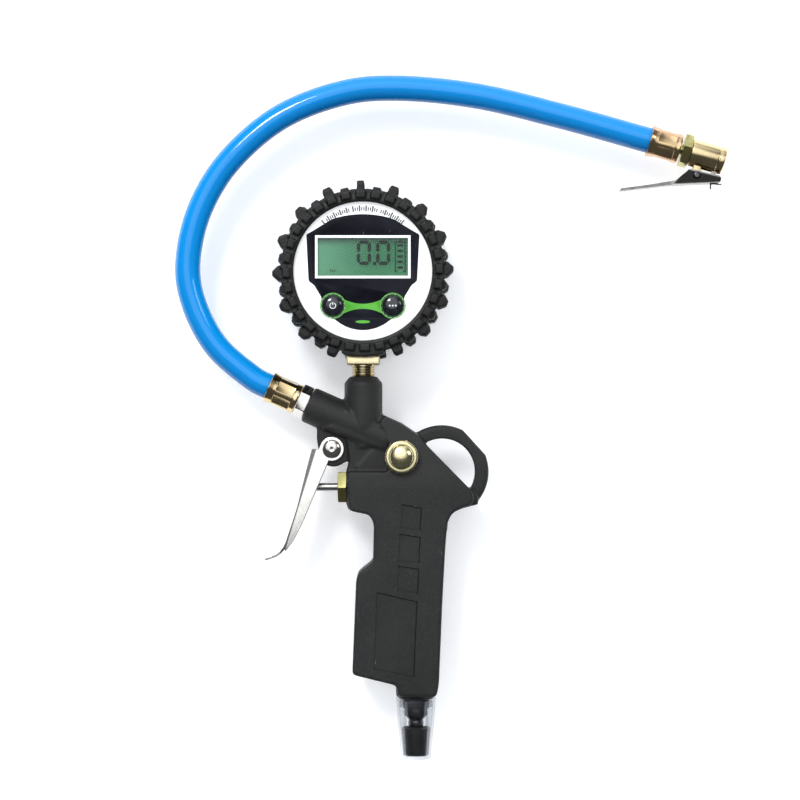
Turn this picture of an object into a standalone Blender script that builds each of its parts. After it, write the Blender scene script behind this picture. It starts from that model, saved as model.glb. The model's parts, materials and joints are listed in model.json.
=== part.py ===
"""Tyre inflator with a digital gauge, a hose and a clip-on chuck.

Metres, +Z up.  The gun stands upright: its thickness runs along Y and its front is at -Y.  The origin is the
centre of the flat closed end of the inlet cap, on the air inlet's axis.
"""
import math

import bmesh
import bpy
from mathutils import Matrix, Vector

GAP = 0.0003                      # clearance between neighbouring pieces

# Casting
GRIP_THICKNESS = 0.022
HEAD_THICKNESS = 0.020
LUG_THICKNESS = 0.008
HOOK_THICKNESS = 0.008
CASTING_FOOT_Z = 0.0289           # the inlet's end face
NECK_X = -0.0247                  # axis of the gauge neck, the stem and the gauge
NECK_RADIUS = 0.00875
NECK_TOP_Z = 0.1791
BARREL_END = Vector((-0.0506, 0, 0.1663))
BARREL_DIRECTION = Vector((-0.9135, 0, 0.4067)).normalized()
BARREL_RADIUS = 0.0086
HOOK_CENTRE = (0.0122, 0.1347)
HOOK_OUTER_RADIUS = 0.0218
HOOK_INNER_RADIUS = 0.0155

# Air valve, along X
VALVE_Z = 0.1274
BOSS_FACE_X = -0.0321
VALVE_BORE_RADIUS = 0.0052
SPRING_BORE_RADIUS = 0.0044
SEAT_SHOULDER_X = -0.0090
CHAMBER_END_X = 0.0070
ROD_RADIUS = 0.0019
ROD_TIP_X = -0.0516

# Trigger
PIVOT = (-0.0394, 0.1454)
TRIGGER_PLATE = 0.0012
TRIGGER_WIDTH = 0.0114
PIVOT_PIN_RADIUS = 0.0022

# Bleed valve, along Y
BLEED = (-0.0068, 0.1419)
BLEED_BORE_RADIUS = 0.0044
BLEED_BORE_END_Y = 0.0060

# Gauge, facing -Y
GAUGE_Z = 0.2279
DIAL_RADIUS = 0.0330
BOOT_RADIUS = 0.0370
BOOT_BLOCK_RADIUS = 0.0420
BOOT_BLOCKS = 16
BOOT_FRONT_Y = -0.0200
BOOT_BACK_Y = 0.0195
SCREW_CIRCLE_RADIUS = 0.0288
SCREW_ANGLES = (60, 120, 230, 310)
BUTTON_OFFSET = (0.01385, -0.0160)
BUTTON_RADIUS = 0.0052
BATTERY_RADIUS = 0.00525
BATTERY_LENGTH = 0.0445
BATTERY_Y = 0.0060
BATTERY_HEIGHTS = (-0.0015, 0.0095)

# Hose and chuck
HOSE_RADIUS = 0.0060
HOSE_WALL = 0.0027
BARB_RADIUS = 0.0030
CHUCK_REAR = Vector((0.1290, 0, 0.2848))
CHUCK_DIRECTION = Vector((0.9617, 0, -0.2740)).normalized()
CHUCK_RADIUS = 0.0064
CHUCK_LENGTH = 0.0164
CLIP_PIVOT = (0.1315, 0.2736)
CLIP_WIDTH = 0.0080
CLIP_PLATE = 0.0006

FRONT = Vector((0, -1, 0))
UP = Vector((0, 0, 1))
RIGHT = Vector((1, 0, 0))


# ---------------------------------------------------------------- helpers

def clear_scene():
    for obj in list(bpy.data.objects):
        bpy.data.objects.remove(obj, do_unlink=True)
    for mesh in list(bpy.data.meshes):
        bpy.data.meshes.remove(mesh)


def new_collection(name):
    collection = bpy.data.collections.new(name)
    bpy.context.scene.collection.children.link(collection)
    return collection


def principled(name, colour, roughness, metallic=0.0, alpha=1.0):
    made = bpy.data.materials.new(name)
    made.use_nodes = True
    shader = made.node_tree.nodes["Principled BSDF"]
    shader.inputs["Base Color"].default_value = (*colour, 1.0)
    shader.inputs["Roughness"].default_value = roughness
    shader.inputs["Metallic"].default_value = metallic
    shader.inputs["Alpha"].default_value = alpha
    return made


def add(name, mesh, frame=None, material=None):
    """A part when it has a material, otherwise a construction shape."""
    obj = bpy.data.objects.new(name, mesh)
    obj.matrix_world = frame or Matrix.Identity(4)
    if material is None:
        CUTTERS.objects.link(obj)
        obj.hide_render = True
        obj.display_type = 'WIRE'
    else:
        PARTS.objects.link(obj)
        mesh.materials.clear()
        mesh.materials.append(material.copy())
        mesh.materials[0].name = name
    return obj


def smooth(obj, angle=35):
    obj.data.shade_smooth()
    obj.data.set_sharp_from_angle(angle=math.radians(angle))


def along(origin, direction, across=None):
    """A frame at origin whose Z runs along direction and whose X is near across."""
    z = Vector(direction).normalized()
    x = Vector(across) if across else (FRONT if abs(z.y) < 0.5 else RIGHT)
    y = z.cross(x).normalized()
    x = y.cross(z)
    frame = Matrix((x, y, z)).transposed().to_4x4()
    frame.translation = Vector(origin)
    return frame


def turned(name, frame, profile, material=None, steps=16):
    """Screw a (radius, height) profile that runs down its outer side, round the frame's Z."""
    mesh = bpy.data.meshes.new(name)
    edges = [(i, i + 1) for i in range(len(profile) - 1)]
    if profile[0][0] > 0:
        edges.append((len(profile) - 1, 0))
    mesh.from_pydata([(r, 0, h) for r, h in profile], edges, [])
    obj = add(name, mesh, frame, material)
    screw = obj.modifiers.new("Screw", 'SCREW')
    screw.steps = steps
    screw.render_steps = steps
    screw.use_merge_vertices = True
    screw.merge_threshold = 0.00001
    return obj


def cylinder(name, frame, radius, start, end, material=None, steps=16):
    profile = [(0, end), (radius, end), (radius, start), (0, start)]
    return turned(name, frame, profile, material, steps)


def tube_profile(outer, inner, start, end):
    return [(outer, end), (outer, start), (inner, start), (inner, end)]


def box(name, low, high, material=None, frame=None):
    mesh = bpy.data.meshes.new(name)
    shape = bmesh.new()
    bmesh.ops.create_cube(shape, size=1)
    size = [b - a for a, b in zip(low, high)]
    middle = [(a + b) / 2 for a, b in zip(low, high)]
    bmesh.ops.scale(shape, vec=size, verts=shape.verts)
    bmesh.ops.translate(shape, vec=middle, verts=shape.verts)
    shape.to_mesh(mesh)
    shape.free()
    return add(name, mesh, frame, material)


def hexagon(name, frame, across_flats, start, end, material=None, turn=0):
    mesh = bpy.data.meshes.new(name)
    shape = bmesh.new()
    radius = across_flats / math.sqrt(3)
    bmesh.ops.create_cone(shape, cap_ends=True, segments=6, radius1=radius, radius2=radius,
                          depth=end - start)
    bmesh.ops.rotate(shape, matrix=Matrix.Rotation(math.radians(turn), 3, 'Z'), verts=shape.verts)
    bmesh.ops.translate(shape, vec=(0, 0, (start + end) / 2), verts=shape.verts)
    shape.to_mesh(mesh)
    shape.free()
    return add(name, mesh, frame, material)


def hex_fitting(name, frame, outer, hex_size, bore, material, turn=30, steps=16):
    """A turned piece with a hexagon (across flats, start, end) on it and a bore through it."""
    fitting = turned(name, frame, outer, material, steps)
    join(fitting, hexagon(f"blank_{name}", frame, *hex_size, turn=turn))
    return cut(fitting, turned(f"cut_{name}", frame, bore, steps=steps))


def curve_to_mesh(obj, material):
    """Replace a curve object by its closed, welded mesh."""
    bpy.context.view_layer.update()
    graph = bpy.context.evaluated_depsgraph_get()
    mesh = bpy.data.meshes.new_from_object(obj.evaluated_get(graph))
    weld = bmesh.new()
    weld.from_mesh(mesh)
    bmesh.ops.remove_doubles(weld, verts=weld.verts, dist=0.000001)
    weld.to_mesh(mesh)
    weld.free()
    name = obj.name
    frame = obj.matrix_world.copy()
    bpy.data.objects.remove(obj, do_unlink=True)
    return add(name, mesh, frame, material)


def spline_object(name, points, kind, closed):
    curve = bpy.data.curves.new(name, 'CURVE')
    curve.dimensions = kind
    spline = curve.splines.new('POLY')
    spline.points.add(len(points) - 1)
    for target, point in zip(spline.points, points):
        target.co = (*point, 1.0)
    spline.use_cyclic_u = closed
    obj = bpy.data.objects.new(name, curve)
    bpy.context.scene.collection.objects.link(obj)
    return obj


def plate(name, outline, thickness, material=None, origin=(0, 0), y=0.0, bevel=0.0, segments=2):
    """A flat outline of (x, z) points, as thick as given, centred on y."""
    points = [(x - origin[0], z - origin[1], 0) for x, z in outline]
    obj = spline_object(name, points, '2D', True)
    obj.data.fill_mode = 'BOTH'
    obj.data.extrude = thickness / 2
    obj.matrix_world = Matrix.Translation((origin[0], y, origin[1])) @ Matrix.Rotation(math.pi / 2, 4, 'X')
    obj = curve_to_mesh(obj, material)
    if bevel:
        rounding = obj.modifiers.new("Bevel", 'BEVEL')
        rounding.width = bevel
        rounding.segments = segments
        rounding.limit_method = 'ANGLE'
        rounding.angle_limit = math.radians(60)
    return obj


def wire(name, points, radius, material=None, resolution=1, frame=None):
    obj = spline_object(name, points, '3D', False)
    obj.data.bevel_depth = radius
    obj.data.bevel_resolution = resolution
    obj.data.use_fill_caps = True
    if frame:
        obj.matrix_world = frame
    return curve_to_mesh(obj, material)


def boolean(obj, operation, others):
    """One exact Boolean with the group of others, which are kept in their own collection of cutters."""
    group = bpy.data.collections.new(f"{operation.lower()}_{obj.name}")
    CUTTERS.children.link(group)
    for other in others:
        group.objects.link(other)
        CUTTERS.objects.unlink(other)
    step = obj.modifiers.new(operation.title(), 'BOOLEAN')
    step.operation = operation
    step.operand_type = 'COLLECTION'
    step.collection = group
    step.solver = 'EXACT'
    return obj


def join(obj, *others):
    return boolean(obj, 'UNION', others)


def cut(obj, *others):
    return boolean(obj, 'DIFFERENCE', others)


def arc(centre, radius, start, end, steps):
    """Points round a centre in the XZ plane, from one angle to another, in degrees."""
    points = []
    for i in range(steps + 1):
        angle = math.radians(start + (end - start) * i / steps)
        points.append((centre[0] + radius * math.cos(angle), centre[1] + radius * math.sin(angle)))
    return points


def coil(radius, start, end, turns, per_turn=6):
    points = []
    count = int(turns * per_turn)
    for i in range(count + 1):
        angle = 2 * math.pi * i / per_turn
        height = start + (end - start) * i / count
        points.append((radius * math.cos(angle), radius * math.sin(angle), height))
    return points


def smooth_path(points, steps):
    """A Catmull-Rom curve through the points."""
    guide = [points[0] * 2 - points[1]] + points + [points[-1] * 2 - points[-2]]
    path = []
    for i in range(1, len(guide) - 2):
        a, b, c, d = guide[i - 1:i + 3]
        for step in range(steps):
            t = step / steps
            path.append(0.5 * (2 * b + (c - a) * t + (2 * a - 5 * b + 4 * c - d) * t * t
                               + (3 * b - a - 3 * c + d) * t ** 3))
    path.append(guide[-2])
    return path


# ---------------------------------------------------------------- casting

def grip_outline():
    return [(0.0141, 0.1135), (0.0137, 0.1005), (0.0122, 0.0730), (0.0107, 0.0363), (0.0098, 0.0305),
            (-0.0088, 0.0315), (-0.0095, 0.0352), (-0.0295, 0.0402), (-0.0277, 0.0837), (-0.0255, 0.0890),
            (-0.0205, 0.0935), (-0.0197, 0.1135)]


def head_outline():
    return [(-0.0158, 0.1610), (-0.0067, 0.1570), (0.0010, 0.1525), (0.0270, 0.1264), (0.0262, 0.1196),
            (0.0141, 0.1120), (0.0110, 0.1000), (-0.0165, 0.1000), (-0.0219, 0.1142), (-0.0317, 0.1177),
            (-0.0321, 0.1356), (-0.0313, 0.1420), (-0.0330, 0.1610)]


def hook_outline():
    outer = arc(HOOK_CENTRE, HOOK_OUTER_RADIUS, 112, 58, 6)
    outer += arc(HOOK_CENTRE, HOOK_OUTER_RADIUS, 22, -44, 7)
    return outer + [(0.0180, 0.1180), (0.0, 0.1300), (-0.0040, 0.1500)]


def lug_outline():
    ear = arc(PIVOT, 0.0056, 165, 300, 9)
    rear = [(-0.0313, 0.1400), (-0.0250, 0.1430), (-0.0250, 0.1590)]
    return [(-0.0465, 0.1590), (-0.0465, 0.1497)] + ear + rear


def grip_panels():
    """Outlines of the shallow recesses in the grip's side."""
    return [[(-0.0067, 0.1199), (0.0028, 0.1181), (0.0020, 0.1077), (-0.0072, 0.1086)],
            [(-0.0077, 0.1061), (0.0022, 0.1046), (0.0015, 0.0925), (-0.0082, 0.0932)],
            [(-0.0083, 0.0912), (0.0015, 0.0898), (0.0009, 0.0781), (-0.0089, 0.0796)],
            [(-0.0183, 0.0790), (0.0007, 0.0745), (-0.0009, 0.0393), (-0.0198, 0.0430)]]


def casting_cutters():
    """Everything drilled or cut out of the casting."""
    upright = along((0, 0, 0), UP)
    neck = along((NECK_X, 0, 0), UP)
    barrel = along(BARREL_END, BARREL_DIRECTION)
    valve = along((0, 0, VALVE_Z), RIGHT)
    bleed = along((BLEED[0], 0, BLEED[1]), FRONT)
    cross = along((0, 0, BLEED[1]), RIGHT)
    hole = arc(HOOK_CENTRE, HOOK_INNER_RADIUS, 121, -32, 14)
    cutters = [
        plate("cut_hook_hole", hole, 0.030),
        turned("cut_inlet", upright,
               [(0, VALVE_Z - 0.0011), (0.0030, VALVE_Z - 0.0011), (0.0030, 0.0415), (0.0067, 0.0415),
                (0.0067, 0.0200), (0, 0.0200)]),
        turned("cut_valve", valve,
               [(0, CHAMBER_END_X), (SPRING_BORE_RADIUS, CHAMBER_END_X),
                (SPRING_BORE_RADIUS, SEAT_SHOULDER_X),
                (VALVE_BORE_RADIUS, SEAT_SHOULDER_X), (VALVE_BORE_RADIUS, -0.0400), (0, -0.0400)]),
        turned("cut_neck", neck,
               [(0, 0.1900), (0.0052, 0.1900), (0.0052, 0.1690), (0.0020, 0.1690), (0.0020, VALVE_Z + 0.0013),
                (0, VALVE_Z + 0.0013)], steps=14),
        turned("cut_barrel", barrel,
               [(0, 0.0100), (0.0066, 0.0100), (0.0066, -0.0110), (0.0024, -0.0110), (0.0024, -0.0285),
                (0, -0.0285)], steps=16),
        cylinder("cut_bleed_bore", bleed, BLEED_BORE_RADIUS, -BLEED_BORE_END_Y, 0.0200),
        cylinder("cut_bleed_drilling", cross, 0.0015, NECK_X + 0.0003, BLEED[0] - 0.0007, steps=12),
        cylinder("cut_pivot_hole", along((PIVOT[0], 0, PIVOT[1]), FRONT), PIVOT_PIN_RADIUS + GAP, -0.01, 0.01,
                 steps=14),
    ]
    for side, y in (("front", -GRIP_THICKNESS / 2), ("back", GRIP_THICKNESS / 2)):
        for number, outline in enumerate(grip_panels(), 1):
            cutters.append(plate(f"cut_panel_{side}_{number}", outline, 0.0008, y=y))
    return cutters


def make_casting():
    casting = plate("body_casting", grip_outline(), GRIP_THICKNESS, MATERIALS["casting"], bevel=0.0035)
    join(casting,
         plate("blank_head", head_outline(), HEAD_THICKNESS, bevel=0.0025),
         plate("blank_hook", hook_outline(), HOOK_THICKNESS, bevel=0.0020),
         plate("blank_lug", lug_outline(), LUG_THICKNESS),
         turned("blank_neck", along((NECK_X, 0, 0), UP),
                [(0, NECK_TOP_Z), (0.0072, NECK_TOP_Z), (NECK_RADIUS, 0.1768), (NECK_RADIUS, 0.1380),
                 (0, 0.1380)]),
         turned("blank_barrel", along(BARREL_END, BARREL_DIRECTION),
                [(0, 0), (0.0080, 0), (BARREL_RADIUS, -0.0010), (BARREL_RADIUS, -0.0300), (0, -0.0300)]),
         turned("blank_boss", along((0, 0, VALVE_Z), RIGHT),
                [(0, 0.0105), (0.0080, 0.0105), (0.0102, 0.0070), (0.0102, BOSS_FACE_X + 0.0008),
                 (0.0096, BOSS_FACE_X - 0.0001), (0, BOSS_FACE_X - 0.0001)]),
         turned("blank_inlet", along((0, 0, 0), UP),
                [(0, 0.0420), (0.0094, 0.0420), (0.0094, 0.0296), (0.0088, CASTING_FOOT_Z),
                 (0, CASTING_FOOT_Z)]))
    cut(casting, *casting_cutters())
    return casting


# ---------------------------------------------------------------- air valve and trigger

def trigger_outline():
    """The lever's side: the web's outer line down to the tip, then back up the flange's free edge."""
    ear = arc(PIVOT, 0.0056, -105, 160, 12)
    return [(-0.0487, 0.1455), (-0.0520, 0.1329), (-0.0557, 0.1180), (-0.0617, 0.0999), (-0.0650, 0.0962),
            (-0.0706, 0.0944), (-0.0703, 0.0933), (-0.0638, 0.0947), (-0.0603, 0.0977), (-0.0534, 0.1102),
            (-0.0478, 0.1236)] + ear + [(-0.0462, 0.1450)]


def trigger_inside():
    """What is cut from the folded lever to leave the web and two flanges."""
    return [(-0.0477, 0.1560), (-0.0477, 0.1460), (-0.0508, 0.1332), (-0.0545, 0.1184), (-0.0602, 0.1000),
            (-0.0560, 0.0960), (-0.0250, 0.1200), (-0.0250, 0.1560)]


def make_trigger():
    frame = along((PIVOT[0], 0, PIVOT[1]), FRONT)
    lever = plate("trigger_lever", trigger_outline(), TRIGGER_WIDTH, MATERIALS["nickel"], origin=PIVOT)
    cut(lever,
        plate("cut_trigger_inside", trigger_inside(), TRIGGER_WIDTH - 2 * TRIGGER_PLATE),
        cylinder("cut_trigger_hole", frame, PIVOT_PIN_RADIUS + GAP, -0.02, 0.02, steps=14))
    half = TRIGGER_WIDTH / 2 + GAP
    head = [(0.0044 * math.sin(math.radians(a)), half + 0.0004 + 0.0016 * math.cos(math.radians(a)))
            for a in range(0, 91, 30)]
    pin = head + [(0.0044, half), (PIVOT_PIN_RADIUS, half), (PIVOT_PIN_RADIUS, -half), (0.0044, -half)]
    pin += [(r, -h) for r, h in reversed(head)]
    smooth(turned("trigger_pivot_pin", frame, pin, MATERIALS["nickel"], steps=16))


def make_valve():
    valve = along((0, 0, VALVE_Z), RIGHT)
    hex_fitting("valve_gland_nut", valve,
                [(0, -0.0270), (0.0049, -0.0270), (0.0049, -0.0367), (0, -0.0367)],
                (0.0140, -0.0366, -0.0325),
                [(0, -0.0200), (0.0038, -0.0200), (0.0038, -0.0292), (0.0022, -0.0292), (0.0022, -0.0400),
                 (0, -0.0400)], MATERIALS["brass"])
    turned("gland_seal", valve, ring_profile(0.0029, 0.0006, -0.0281), MATERIALS["rubber"], steps=14)
    smooth(turned("pushrod", valve,
                  [(0, -0.0040), (ROD_RADIUS, -0.0040), (ROD_RADIUS, ROD_TIP_X + 0.0016)]
                  + [(ROD_RADIUS * math.cos(math.radians(a)),
                      ROD_TIP_X + 0.0016 - 0.0016 * math.sin(math.radians(a))) for a in (30, 60)]
                  + [(0, ROD_TIP_X)], MATERIALS["steel"], steps=12))
    turned("valve_seat_insert", valve,
           [(0.0034, -0.0089), (0.0034, -0.0093), (0.0049, -0.0093), (0.0049, -0.0122), (0.0028, -0.0122),
            (0.0028, -0.0089)], MATERIALS["brass"])
    turned("poppet_seal", valve, tube_profile(0.0036, 0.0022, -0.0086, -0.0075), MATERIALS["rubber"])
    turned("valve_poppet", valve,
           [(0, -0.0002), (0.0016, -0.0002), (0.0018, -0.0025), (0.0036, -0.0025), (0.0036, -0.0072),
            (0.0022, -0.0072), (0.0022, -0.0037), (0, -0.0037)], MATERIALS["brass"])
    smooth(wire("valve_spring", coil(0.0027, -0.0018, CHAMBER_END_X - 0.0007, 5.5), 0.00035,
                MATERIALS["steel"], frame=valve))


def ring_profile(middle_radius, half_width, height, sides=8):
    """An O-ring's round section."""
    return [(middle_radius + half_width * math.sin(2 * math.pi * i / sides),
             height + half_width * math.cos(2 * math.pi * i / sides)) for i in range(sides)]


# ---------------------------------------------------------------- bleed valve

def make_bleed_valve():
    bleed = along((BLEED[0], 0, BLEED[1]), FRONT)
    hex_fitting("bleed_nut", bleed,
                [(0, 0.0146), (0.0072, 0.0146), (0.0077, 0.0141), (0.0077, 0.0128), (0.0050, 0.0128),
                 (0.0050, 0.0103), (0.0041, 0.0103), (0.0041, 0.0034), (0, 0.0034)],
                (0.0140, 0.0104, 0.0129),
                [(0, 0.0200), (0.0060, 0.0200), (0.0060, 0.0117), (0.0020, 0.0117), (0.0020, 0.0), (0, 0.0)],
                MATERIALS["brass"], turn=15, steps=20)
    smooth(turned("bleed_button", bleed,
                  [(0, 0.0176), (0.0015, 0.0175), (0.0030, 0.0171), (0.0043, 0.0164), (0.0052, 0.0155),
                   (0.0057, 0.0144), (0.0045, 0.0144), (0.0045, 0.0150), (0.0020, 0.0150), (0.0020, 0.0165),
                   (0, 0.0165)], MATERIALS["brass"], steps=20))
    turned("bleed_stem", bleed,
           [(0, 0.0162), (0.0017, 0.0162), (0.0017, 0.0020), (0.0033, 0.0020), (0.0033, 0.0010), (0, 0.0010)],
           MATERIALS["steel"], steps=12)
    turned("bleed_seal", bleed, tube_profile(0.0033, 0.0020, 0.0023, 0.0031), MATERIALS["rubber"], steps=14)
    smooth(wire("bleed_spring", coil(0.0024, -BLEED_BORE_END_Y + 0.0006, 0.0004, 4.5), 0.0003,
                MATERIALS["steel"], frame=bleed))


# ---------------------------------------------------------------- air inlet

def make_inlet():
    inlet = along((0, 0, 0), UP)
    hex_fitting("inlet_plug", inlet,
                [(0, 0.0400), (0.0064, 0.0400), (0.0064, 0.0273), (0.0050, 0.0273), (0.0050, 0.0241),
                 (0.00545, 0.0238), (0.00545, 0.0200), (0.0042, 0.0187), (0.0036, 0.0178), (0.0036, 0.0155),
                 (0.0033, 0.0150), (0, 0.0150)],
                (0.0136, 0.0240, 0.0274),
                [(0, 0.0500), (0.0022, 0.0500), (0.0022, 0.0100), (0, 0.0100)], MATERIALS["steel"])
    turned("inlet_seal_washer", inlet, tube_profile(0.0079, 0.0067, 0.0277, 0.0286), MATERIALS["rubber"])
    smooth(turned("inlet_cap", inlet,
                  [(0, 0.0013), (0.0061, 0.0013), (0.0086, 0.0286), (0.0095, 0.0286), (0.0071, 0.0008),
                   (0.0065, 0), (0, 0)], MATERIALS["clear"], steps=20))
    turned("inlet_cap_bung", inlet,
           [(0, 0.0120), (0.0040, 0.0120), (0.0045, 0.0144), (0.0068, 0.0144), (0.0058, 0.0016), (0, 0.0016)],
           MATERIALS["rubber"])


# ---------------------------------------------------------------- gauge

def gauge_frame():
    """Z runs forwards out of the dial, X to the right."""
    return along((NECK_X, 0, GAUGE_Z), FRONT)


def gauge_point(x, z, y=0.0):
    return (NECK_X + x, y, GAUGE_Z + z)


def screw_places():
    radius = SCREW_CIRCLE_RADIUS
    return [(radius * math.cos(math.radians(a)), radius * math.sin(math.radians(a)))
            for a in SCREW_ANGLES]


def make_stem():
    neck = along((NECK_X, 0, 0), UP)
    hex_fitting("gauge_stem", neck,
                [(0, 0.2030), (0.0047, 0.2030), (0.0047, 0.1885), (0.0048, 0.1840), (0.0043, 0.1836),
                 (0.0043, 0.1805), (0.0048, 0.1800), (0.0048, 0.1712), (0, 0.1712)],
                (0.0140, 0.1850, 0.1890),
                [(0, 0.2100), (0.0015, 0.2100), (0.0015, 0.1600), (0, 0.1600)], MATERIALS["brass"], turn=0)
    turned("stem_seal", neck, tube_profile(0.0048, 0.0022, 0.1694, 0.1708), MATERIALS["rubber"], steps=14)
    nut = hexagon("stem_nut", neck, 0.0140, 0.1976, 0.2002, MATERIALS["brass"], turn=0)
    cut(nut, cylinder("cut_stem_nut", neck, 0.0050, 0.19, 0.21))
    turned("pressure_sensor", neck,
           [(0, 0.2070), (0.0040, 0.2070), (0.0040, 0.2056), (0.0055, 0.2056), (0.0055, 0.2034), (0, 0.2034)],
           MATERIALS["steel"], steps=14)


def make_boot():
    outline = []
    step = 360 / BOOT_BLOCKS
    for i in range(BOOT_BLOCKS):
        middle = 90 + i * step
        for offset, radius in ((-6.2, BOOT_BLOCK_RADIUS), (6.2, BOOT_BLOCK_RADIUS), (7.2, BOOT_RADIUS),
                               (8.6, 0.0390), (13.9, 0.0390), (15.3, BOOT_RADIUS)):
            angle = math.radians(middle + offset)
            outline.append((NECK_X + radius * math.cos(angle), GAUGE_Z + radius * math.sin(angle)))
    boot = plate("gauge_boot", outline, BOOT_BACK_Y - BOOT_FRONT_Y, MATERIALS["rubber"],
                 origin=(NECK_X, GAUGE_Z), y=(BOOT_FRONT_Y + BOOT_BACK_Y) / 2)
    frame = gauge_frame()
    hollow = turned("cut_boot_hollow", frame,
                    [(0, 0.03), (0.0335, 0.03), (0.0320, 0.0190), (0.0320, 0.0168), (0.0343, 0.0168),
                     (0.0343, -0.0145), (0.0315, -0.0145), (0.0315, -0.03), (0, -0.03)], steps=32)
    neck = along((NECK_X, 0, 0), UP)
    notch = turned("cut_boot_notch", neck,
                   [(0, 0.2000), (0.0051, 0.2000), (0.0051, 0.1895), (0.0088, 0.1895), (0.0088, 0.1800),
                    (0, 0.1800)], steps=14)
    cut(boot, hollow, notch)


def make_gauge_case():
    frame = gauge_frame()
    case = turned("gauge_case", frame,
                  [(0.0340, 0.0165), (0.0340, -0.0142), (0.0320, -0.0142), (0.0320, 0.0141), (0.0333, 0.0141),
                   (0.0333, 0.0165)], MATERIALS["case"], steps=32)
    for number, (x, z) in enumerate(screw_places(), 1):
        centre = gauge_point(x, z)
        out = Vector((x, 0, z)).normalized()
        place = along(centre, FRONT, across=out)
        post = cylinder(f"blank_post_{number}", place, 0.0036, -0.0109, -0.0010, steps=12)
        web = box(f"blank_post_web_{number}", (0, -0.0025, -0.0108), (0.0042, 0.0025, -0.0011), frame=place)
        join(case, post, web)
        cut(case, cylinder(f"cut_post_{number}", place, 0.0013, -0.0200, -0.0030, steps=12))
    neck = along((NECK_X, 0, 0), UP)
    cut(case, cylinder("cut_case_stem", neck, 0.0051, 0.1850, 0.2000, steps=14))
    return case


def door_outline(margin):
    """A rectangle with a tab below it for the screw, grown by margin."""
    half, low, high = 0.0235 + margin, -0.0078 - margin, 0.0158 + margin
    tab = arc((0, -0.0100), 0.0042 + margin, 210, 330, 6)
    points = [(half, low), (half, high), (-half, high), (-half, low)] + tab
    return [(NECK_X + x, GAUGE_Z + z) for x, z in points]


def make_back_cover():
    frame = gauge_frame()
    cover = cylinder("gauge_back_cover", frame, 0.0317, -0.0142, -0.0112, MATERIALS["case"], steps=32)
    tub = box("blank_tub", gauge_point(-0.0248, -0.0091, -0.0012), gauge_point(0.0248, 0.0171, 0.0118))
    ledge = box("blank_ledge", gauge_point(-0.0050, -0.0180, 0.0060), gauge_point(0.0050, -0.0085, 0.0116))
    join(cover, tub, ledge)
    cut(cover,
        box("cut_tub", gauge_point(-0.0232, -0.0074, 0.0), gauge_point(0.0232, 0.0154, 0.0300)),
        plate("cut_door", door_outline(GAP), 0.0120, y=0.0182))
    for number, (x, z) in enumerate(screw_places(), 1):
        place = along(gauge_point(x, z), FRONT)
        cut(cover, turned(f"cut_cover_screw_{number}", place,
                          [(0, -0.0050), (0.0013, -0.0050), (0.0013, -0.0126), (0.0025, -0.0126),
                           (0.0025, -0.0200), (0, -0.0200)], steps=12))
        make_screw(f"case_screw_{number}", place, -0.0141, -0.0050)
    screw_place = along(gauge_point(0, -0.0110), FRONT)
    cut(cover, cylinder("cut_ledge_screw", screw_place, 0.0013, -0.0200, -0.0070, steps=12))
    door = plate("battery_door", door_outline(0), 0.0018, MATERIALS["case"],
                 origin=(NECK_X, GAUGE_Z), y=0.0134)
    cut(door, turned("cut_door_screw", screw_place,
                     [(0, -0.0100), (0.0013, -0.0100), (0.0013, -0.0132), (0.0025, -0.0132),
                      (0.0025, -0.0200), (0, -0.0200)], steps=12))
    make_screw("battery_door_screw", screw_place, -0.0148, -0.0080)


def make_screw(name, place, head_end, tip):
    """A pan-head screw with a cross slot, its head at the back."""
    screw = turned(name, place,
                   [(0, tip), (0.0007, tip), (0.0010, tip - 0.0005), (0.0010, head_end + 0.0012),
                    (0.0022, head_end + 0.0012), (0.0022, head_end + 0.0004), (0.0017, head_end),
                    (0, head_end)], MATERIALS["steel"], steps=12)
    cut(screw,
        box(f"cut_{name}_slot_a", (-0.0013, -0.0002, head_end - 0.001), (0.0013, 0.0002, head_end + 0.0005),
            frame=place),
        box(f"cut_{name}_slot_b", (-0.0002, -0.0013, head_end - 0.001), (0.0002, 0.0013, head_end + 0.0005),
            frame=place))


def make_dial():
    frame = gauge_frame()
    dial = cylinder("dial_plate", frame, DIAL_RADIUS, 0.0144, 0.0160, MATERIALS["dial"], steps=32)
    window_low, window_high = (-0.0222, -0.0032), (0.0222, 0.0167)
    cut(dial, box("cut_dial_window", gauge_point(*window_low, -0.03), gauge_point(*window_high, 0.0)))
    box("lcd_window", gauge_point(window_low[0] + GAP, window_low[1] + GAP, -0.0162),
        gauge_point(window_high[0] - GAP, window_high[1] - GAP, -0.0150), MATERIALS["clear"])
    box("lcd_module", gauge_point(-0.0216, -0.0026, -0.0146), gauge_point(0.0216, 0.0161, -0.0118),
        MATERIALS["lcd"])
    box("lcd_backlight", gauge_point(-0.0216, -0.0026, -0.0115), gauge_point(0.0216, 0.0161, -0.0090),
        MATERIALS["dial"])
    for name, side in (("on", -1), ("mode", 1)):
        x, z = side * BUTTON_OFFSET[0], BUTTON_OFFSET[1]
        place = along(gauge_point(x, z), FRONT)
        cut(dial, cylinder(f"cut_dial_button_{name}", place, BUTTON_RADIUS + GAP, 0.0, 0.03, steps=16))
        smooth(turned(f"button_{name}", place,
                      [(0, 0.0177), (0.0025, 0.0175), (0.0042, 0.0170), (BUTTON_RADIUS, 0.0160),
                       (BUTTON_RADIUS, 0.0138), (0.0062, 0.0138), (0.0062, 0.0130), (0.0015, 0.0130),
                       (0.0015, 0.0122), (0, 0.0122)], MATERIALS["case"], steps=16))
        switch = box(f"switch_{name}", gauge_point(x - 0.003, z - 0.003, -0.0110),
                     gauge_point(x + 0.003, z + 0.003, -0.0084), MATERIALS["steel"])
        join(switch, cylinder(f"blank_switch_{name}", place, 0.0015, 0.0100, 0.0114, steps=12))


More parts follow.
